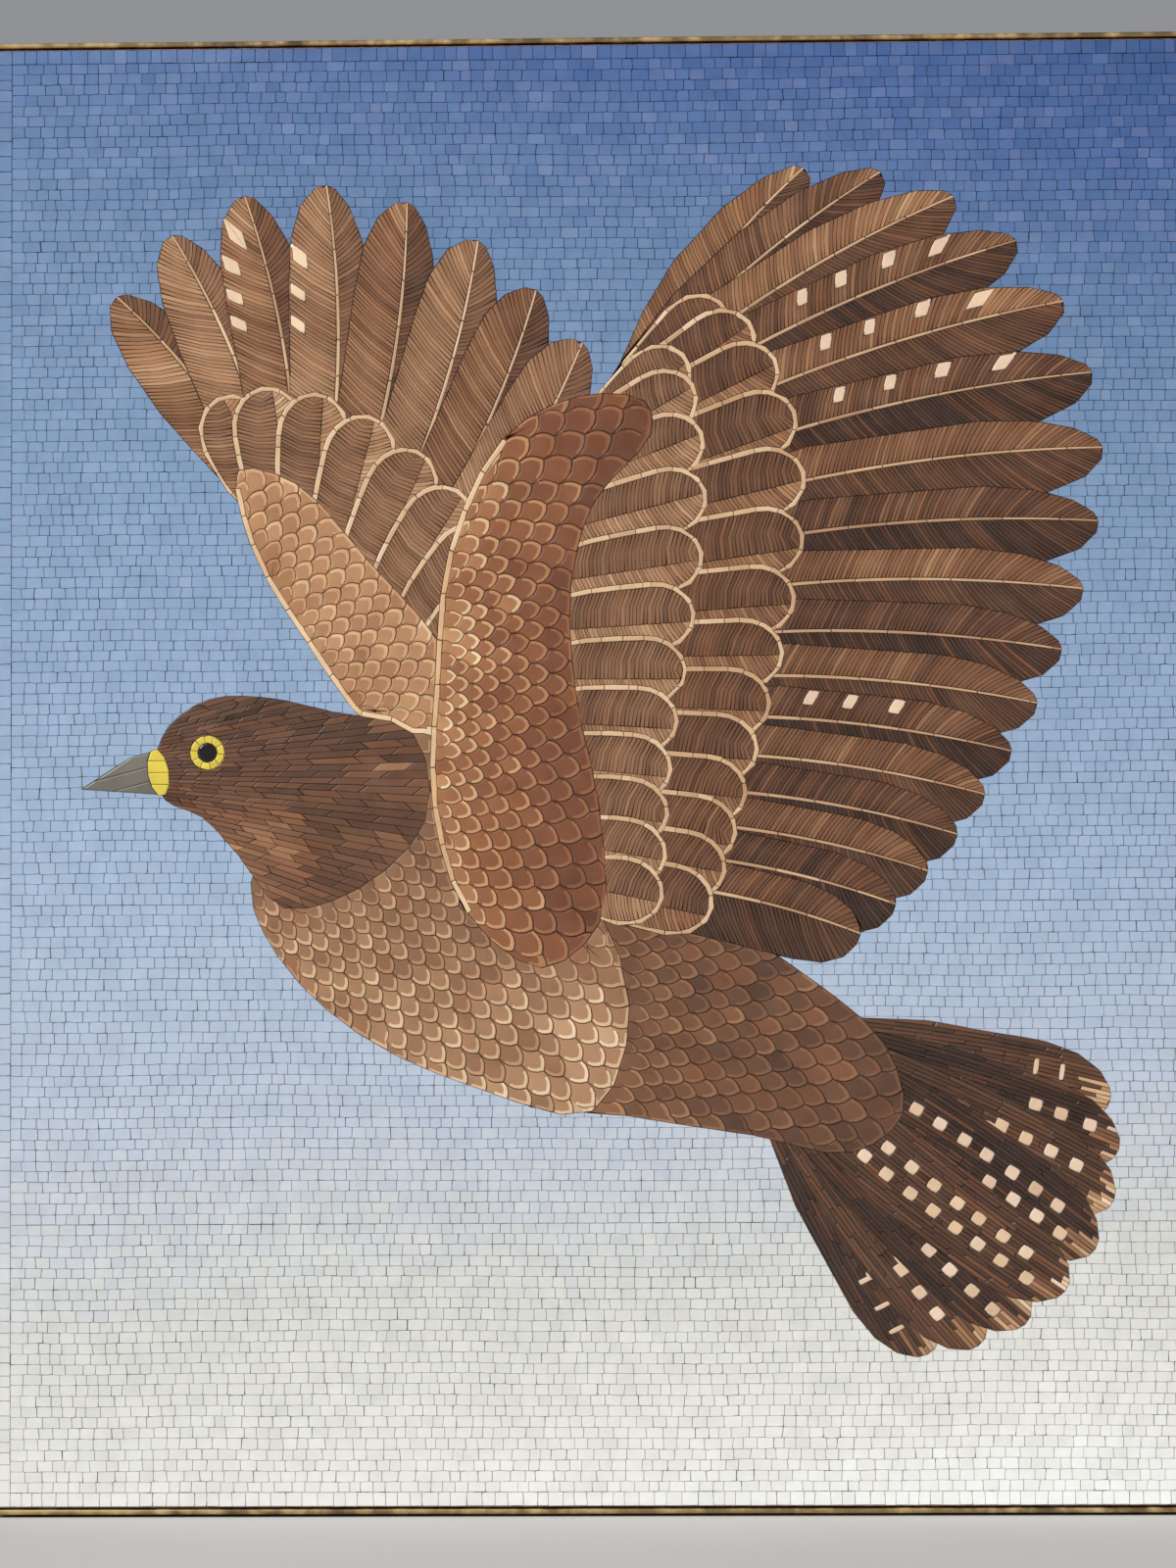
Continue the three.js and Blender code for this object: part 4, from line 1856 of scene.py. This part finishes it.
@dataclass
class Sky:
    """The sky: five tones, each in as many solids as the bird leaves of it, and the border."""

    def build(self) -> None:
        """Builds all of the sky."""
        SkyBorder("sky_border", "glass_sky_middle", sky_glass("border")).build()
        first = 0
        for name, courses, pieces in SKY:
            for k in range(pieces):
                slot = f"glass_sky_{name}"
                SkyBand(f"sky_{name}_{k + 1}", slot, sky_glass(name), first=first, courses=courses).build()
            first += courses


@dataclass
class FeatheredWing:
    """The flight feathers of a wing."""

    wing: Wing
    names: tuple[str, ...]
    last: float
    finishes: tuple[tuple[str, Glass], ...]
    light: tuple[float, float]
    fan_share: tuple[float, float]
    dropped: dict[str, int]

    def build(self) -> None:
        """Builds the flight feathers."""
        for k, name in enumerate(self.names):
            place = self.last * k / (len(self.names) - 1)
            slot, finish = self.finishes[k % 2]
            light = mix(*self.light, place)
            FlightFeather(
                name,
                slot,
                finish,
                shaft=self.wing.shaft(place),
                light=light,
                dark=light - 0.26,
                fan_share=mix(*self.fan_share, place),
                drops=self.dropped.get(name, 0),
            ).build()


def near_wing() -> None:
    """Builds the near wing: flight feathers, two rows of coverts and the shoulder."""
    names = [f"near_primary_{k + 1}" for k in range(9)]
    names += [f"near_secondary_{k + 1}" for k in range(8)]
    FeatheredWing(
        NEAR_WING,
        tuple(names),
        1.0,
        (("glass_brown", BROWN), ("glass_dark_brown", DARK_BROWN)),
        (0.66, 0.47),
        (0.62, 0.78),
        {"near_primary_4": 4, "near_primary_5": 5, "near_primary_6": 4, "near_secondary_3": 3},
    ).build()
    CovertRow(
        "near_greater_coverts",
        "glass_brown",
        BROWN,
        shafts=tuple(NEAR_WING.shaft(mix(0.03, 1, k / 13), 0.5, 0.0) for k in range(14)),
        width=5.8,
    ).build()
    CovertRow(
        "near_median_coverts",
        "glass_soft_brown",
        SOFT_BROWN,
        shafts=tuple(NEAR_WING.shaft(mix(0.06, 1, k / 11), 0.33, 0.0) for k in range(12)),
        width=5.6,
    ).build()
    ScaleArea(
        "near_shoulder",
        "glass_rust",
        RUST,
        fan=Fan(bird(-32, 10), 26),
        long=2.7,
        wide=1.65,
        place_tone=lambda p: 0.74 - 0.034 * (p.x - bird(-13, 0).x) + 0.07 * patchy(p, 6, 3),
        lined=lambda p: p.x < bird(-7, 0).x and p.y > bird(0, -9).y,
    ).build()


def far_wing() -> None:
    """Builds the far wing: flight feathers, coverts and the shoulder."""
    FeatheredWing(
        FAR_WING,
        tuple(f"far_primary_{k + 1}" for k in range(8)),
        0.7,
        (("glass_brown", BROWN), ("glass_soft_brown", SOFT_BROWN)),
        (0.68, 0.56),
        (0.66, 0.72),
        {"far_primary_3": 4, "far_primary_4": 3},
    ).build()
    CovertRow(
        "far_coverts",
        "glass_soft_brown",
        SOFT_BROWN,
        shafts=tuple(FAR_WING.shaft(mix(0.06, 1, k / 8), 0.46, 0.0) for k in range(9)),
        width=6.0,
        light=0.74,
        dark=0.52,
    ).build()
    ScaleArea(
        "far_shoulder",
        "glass_tan",
        TAN,
        fan=Fan(bird(-44, -6), 30),
        long=2.3,
        wide=1.4,
        place_tone=lambda p: 0.52 + 0.1 * patchy(p, 5, 6),
        lined=lambda p: p.y < bird(0, 27).y - 1.15 * (p.x - bird(-30, 0).x),
    ).build()


def tail() -> None:
    """Builds the fan of the tail."""
    for k in range(8):
        share = k / 7
        from_middle = abs(2 * share - 1)
        angle = mix(-8, -64, share)
        bow = 0.03 * ((1 - 2 * share > 0) - (1 - 2 * share < 0))
        slot, finish = (("glass_brown", BROWN), ("glass_dark_brown", DARK_BROWN))[k % 2]
        TailFeather(
            f"tail_feather_{k + 1}",
            slot,
            finish,
            shaft=Shaft(
                polar(TAIL_ROOT, -6, angle),
                polar(TAIL_ROOT, 30 - 3 * from_middle**2, angle),
                bow,
            ),
            barred=k in (0, 7),
        ).build()


def body() -> None:
    """Builds the breast, the belly, the head and its small pieces."""
    ScaleArea(
        "breast",
        "glass_soft_brown",
        SOFT_BROWN,
        fan=Fan(bird(-58, 34), 62),
        long=2.5,
        wide=1.5,
        place_tone=lambda p: 0.56 + 0.012 * (bird(0, -10).y - p.y) + 0.08 * patchy(p, 5, 8),
    ).build()
    ScaleArea(
        "belly",
        "glass_brown",
        BROWN,
        fan=Fan(bird(-62, 6), 72),
        long=2.9,
        wide=1.5,
        pale=0.17,
        place_tone=lambda p: 0.5 - 0.008 * (p.x - bird(0, 0).x) + 0.08 * patchy(p, 6, 11),
    ).build()
    Head("head", "glass_brown", BROWN, fan=Fan(bird(-49, 3), 24), place_tone=head_tone).build()
    SmallArea("beak", "glass_grey", GREY, parallel=2, direction=Vector((-0.25, 0.97))).build()
    SmallArea("gape", "glass_yellow", YELLOW, parallel=3).build()
    SmallArea("eye_ring", "glass_yellow", YELLOW, radial=5).build()
    SmallArea("pupil", "glass_black", BLACK).build()


def head_tone(place: Vector) -> float:
    """Returns the tone of the head: dark above, pale on the cheek and in streaks at the neck."""
    cheek = 0.24 * eased((place - bird(-27, -3).to_3d()).length, 6, 2)
    neck = 0.3 * eased(place.x, bird(-20, 0).x, bird(-15, 0).x) * (patchy(place, 2.2, 5) > 0.05)
    crown = 0.12 * eased(place.y, bird(0, 4).y, bird(0, 8).y)
    return 0.4 + cheek + neck - crown + 0.09 * patchy(place, 3, 2)


# ---------------------------------------------------------------- the tray and its mastic


@dataclass
class Tray:
    """The sheet brass tray: a flat back with four low walls, bent up and rubbed."""

    corner: float = 0.5
    lip: float = 0.15
    station: float = 2.5
    dent: float = 0.045

    def build(self) -> bpy.types.Object:
        """Returns the finished tray."""
        bm = bmesh.new()
        bmesh.ops.create_cube(bm, size=1.0)
        size = (2 * PANEL.half_x, PANEL.depth, 2 * PANEL.half_z)
        bmesh.ops.scale(bm, vec=size, verts=bm.verts)
        bmesh.ops.translate(bm, vec=(0, -PANEL.depth / 2, 0), verts=bm.verts)
        front = min(bm.faces, key=lambda f: f.calc_center_median().y)
        bmesh.ops.inset_individual(bm, faces=[front], thickness=SHEET)
        floor = bmesh.ops.extrude_discrete_faces(bm, faces=[front])["faces"][0]
        bmesh.ops.translate(bm, vec=(0, PANEL.depth - SHEET, 0), verts=floor.verts)
        self.bend(bm)
        self.dent_walls(bm)
        self.lay_map(bm)
        bmesh.ops.scale(bm, vec=(MM, MM, MM), verts=bm.verts)
        piece = made("tray_sheet", bm, Brass().material())
        for polygon in piece.data.polygons:
            polygon.use_smooth = False
        report(piece, "brass", "tray")
        return piece

    def bend(self, bm: BMesh) -> None:
        """Rounds the bent corners, the back's edge and the lip."""
        posts = [
            e
            for e in bm.edges
            if abs(abs(e.verts[0].co.x) - PANEL.half_x) < 0.01
            and (e.verts[0].co.xz - e.verts[1].co.xz).length < 0.01
        ]
        self.bevel(bm, posts, self.corner, 4)
        back = [e for e in bm.edges if all(abs(v.co.y) < 0.01 for v in e.verts)]
        self.bevel(bm, back, 0.35, 3)
        lips = [e for e in bm.edges if all(abs(v.co.y + PANEL.depth) < 0.01 for v in e.verts)]
        lips = [e for e in lips if e.calc_face_angle(0) > 0.5]
        self.bevel(bm, lips, self.lip, 2)

    @staticmethod
    def bevel(bm: BMesh, edges: list[BMEdge], offset: float, segments: int) -> None:
        """Rounds some edges."""
        bmesh.ops.bevel(
            bm,
            geom=edges,
            offset=offset,
            segments=segments,
            profile=0.5,
            affect="EDGES",
            material=-1,
        )

    def dent_walls(self, bm: BMesh) -> None:
        """Makes the walls, the lip and the back a little uneven, always inwards."""
        for axis, half in ((0, PANEL.half_x), (2, PANEL.half_z)):
            count = int(2 * half / self.station)
            for k in range(1, count):
                place, normal = Vector((0, 0, 0)), Vector((0, 0, 0))
                place[axis] = -half + 2 * half * k / count
                normal[axis] = 1
                bmesh.ops.bisect_plane(
                    bm,
                    geom=[*bm.verts, *bm.edges, *bm.faces],
                    dist=TOUCH,
                    plane_co=place,
                    plane_no=normal,
                )
        rubbed = bm.verts.layers.float.new("rubbed")
        for vert in bm.verts:
            x, y, z = vert.co
            raised = eased(-y, PANEL.depth - 1.2, PANEL.depth - 0.1)
            vert[rubbed] = raised
            wave = 0.5 + 0.5 * noise.noise(Vector((x, z, y * 0.3)) / 9)
            up = -y / PANEL.depth
            if abs(x) > PANEL.inner_x - 0.01:
                vert.co.x -= math.copysign(self.dent * wave * up, x)
            if abs(z) > PANEL.inner_z - 0.01:
                vert.co.z -= math.copysign(self.dent * wave * up, z)
            if raised > 0.5:
                vert.co.y += 0.05 * (0.5 + 0.5 * noise.noise(Vector((x, z, 5)) / 6))
            elif y > -0.2:
                vert.co.y -= 0.05 * (0.5 + 0.5 * noise.noise(Vector((x, z, 9)) / 22))

    @staticmethod
    def lay_map(bm: BMesh) -> None:
        """Lays out the lip and walls, the back and the floor side by side in a UV map."""
        layer = bm.loops.layers.uv.new("OFBake")
        for face in bm.faces:
            facing = face.normal
            for loop in face.loops:
                x, y, z = loop.vert.co
                u, v = (x / PANEL.half_x + 1) / 2, (z / PANEL.half_z + 1) / 2
                reach = -y / PANEL.depth
                if facing.y > 0.5:
                    loop[layer].uv = (0.51 + 0.48 * u, 0.01 + 0.48 * v)
                elif facing.y < -0.5:
                    loop[layer].uv = (0.01 + 0.48 * u, 0.01 + 0.48 * v)
                else:
                    level = max(abs(x) / PANEL.half_x, abs(z) / PANEL.half_z)
                    inner = 0.0 if facing.dot(Vector((x, 0, z)).normalized()) > 0 else 0.12
                    band = 0.5 + inner + 0.1 * reach
                    if abs(x) / PANEL.half_x >= abs(z) / PANEL.half_z:
                        band += 0.24
                        along = v
                    else:
                        along = u
                    half = 0.0 if (x if band > 0.73 else z) * level < 0 else 0.5
                    loop[layer].uv = (0.01 + half + 0.47 * along, band)


@dataclass
class MasticBed:
    """The mastic that fills the tray, with the thin line that shows along the walls."""

    below: float = 0.1

    def build(self) -> bpy.types.Object:
        """Returns the finished bed."""
        bm = bmesh.new()
        bmesh.ops.create_cube(bm, size=1.0)
        back = -SHEET
        front = PANEL.front + PANEL.picture_depth
        bmesh.ops.scale(
            bm, vec=(2 * PANEL.inner_x, back - front, 2 * PANEL.inner_z), verts=bm.verts
        )
        bmesh.ops.translate(bm, vec=(0, (back + front) / 2, 0), verts=bm.verts)
        face = min(bm.faces, key=lambda f: f.calc_center_median().y)
        bmesh.ops.inset_individual(bm, faces=[face], thickness=JOINT / 2)
        wall = bm.verts.layers.float.new("wall")
        ring = [
            f
            for f in bm.faces
            if f != face and all(abs(v.co.y - front) < TOUCH for v in f.verts)
        ]
        raised = bmesh.ops.extrude_face_region(bm, geom=ring)["geom"]
        verts = [g for g in raised if isinstance(g, BMVert)]
        bmesh.ops.translate(bm, vec=(0, -PANEL.picture_depth + self.below, 0), verts=verts)
        bmesh.ops.delete(bm, geom=ring, context="FACES_ONLY")
        for vert in bm.verts:
            vert[wall] = 1.0
        bmesh.ops.recalc_face_normals(bm, faces=bm.faces)
        bmesh.ops.scale(bm, vec=(MM, MM, MM), verts=bm.verts)
        piece = made("mastic_filling", bm, Mastic().material())
        report(piece, "mastic", "mastic_bed")
        return piece


# ---------------------------------------------------------------- the studio


@dataclass
class Studio:
    """A pale floor, soft lights, and a camera almost square to the picture."""

    distance: float = 0.42
    yaw: float = 1.7
    pitch: float = -3.2
    roll: float = 0.27
    view_height: float = 0.12715
    aim: Vector = field(default_factory=lambda: Vector((-0.00124, -0.005, -0.00116)))

    def build(self) -> None:
        """Sets up the floor, the light and the camera."""
        self.lay_floor()
        self.light_world()
        self.add_lights()
        self.add_camera()
        bpy.context.scene.view_settings.view_transform = "Standard"

    def lay_floor(self) -> None:
        """Lays the pale floor under the panel."""
        bm = bmesh.new()
        bmesh.ops.create_grid(bm, x_segments=8, y_segments=8, size=1.5)
        low = cad_box[0][2] if isinstance(cad_box, (list, tuple)) else -PANEL.half_z * MM
        bmesh.ops.translate(bm, vec=(0, 0, low - 0.0002), verts=bm.verts)
        material = bpy.data.materials.new("pale floor")
        material.use_nodes = True
        nodes = Tree(material.node_tree)
        shader = material.node_tree.nodes["Principled BSDF"]
        shade = nodes.blend(nodes.noise(30, 3), srgb(206, 204, 200), srgb(214, 212, 208))
        material.node_tree.links.new(shade, shader.inputs["Base Color"])
        shader.inputs["Roughness"].default_value = 0.8
        made("floor", bm, material)

    def light_world(self) -> None:
        """Gives a dim pale light from all round."""
        world = bpy.data.worlds.new("studio")
        bpy.context.scene.world = world
        world.use_nodes = True
        sky = world.node_tree.nodes["Background"]
        sky.inputs["Color"].default_value = (0.93, 0.95, 1.0, 1.0)
        sky.inputs["Strength"].default_value = 0.3

    def add_lights(self) -> None:
        """Adds a broad key light from the upper left and a weaker one from the right."""
        for name, place, size, power in (
            ("key", (-0.75, -0.85, 0.65), 0.7, 15.5),
            ("fill", (0.9, -0.8, -0.02), 0.8, 7.5),
        ):
            lamp = bpy.data.lights.new(name, "AREA")
            lamp.energy = power
            lamp.size = size
            light = bpy.data.objects.new(name, lamp)
            bpy.context.scene.collection.objects.link(light)
            light.location = place
            aim = Vector((0, 0, 0)) - light.location
            light.rotation_euler = aim.to_track_quat("-Z", "Y").to_euler()

    def add_camera(self) -> None:
        """Adds the camera: a little right of the picture's middle, and a little below it."""
        lens = bpy.data.cameras.new("camera")
        lens.sensor_fit = "VERTICAL"
        lens.sensor_height = 36
        lens.lens = 36 * self.distance / self.view_height
        camera = bpy.data.objects.new("camera", lens)
        bpy.context.scene.collection.objects.link(camera)
        turn = Matrix.Rotation(math.radians(self.yaw), 4, "Z")
        turn = turn @ Matrix.Rotation(math.radians(90 - self.pitch), 4, "X")
        turn = turn @ Matrix.Rotation(math.radians(-self.roll), 4, "Z")
        back = turn @ Vector((0, 0, self.distance, 1))
        camera.matrix_world = Matrix.Translation(self.aim + back.xyz) @ turn
        bpy.context.scene.camera = camera


def main() -> None:
    """Builds the studio and every piece of the panel."""
    logging.basicConfig(level=logging.INFO, format="%(name)s: %(message)s")
    Studio().build()
    Tray().build()
    MasticBed().build()
    Sky().build()
    near_wing()
    far_wing()
    tail()
    body()


if __name__ == "__main__":
    main()
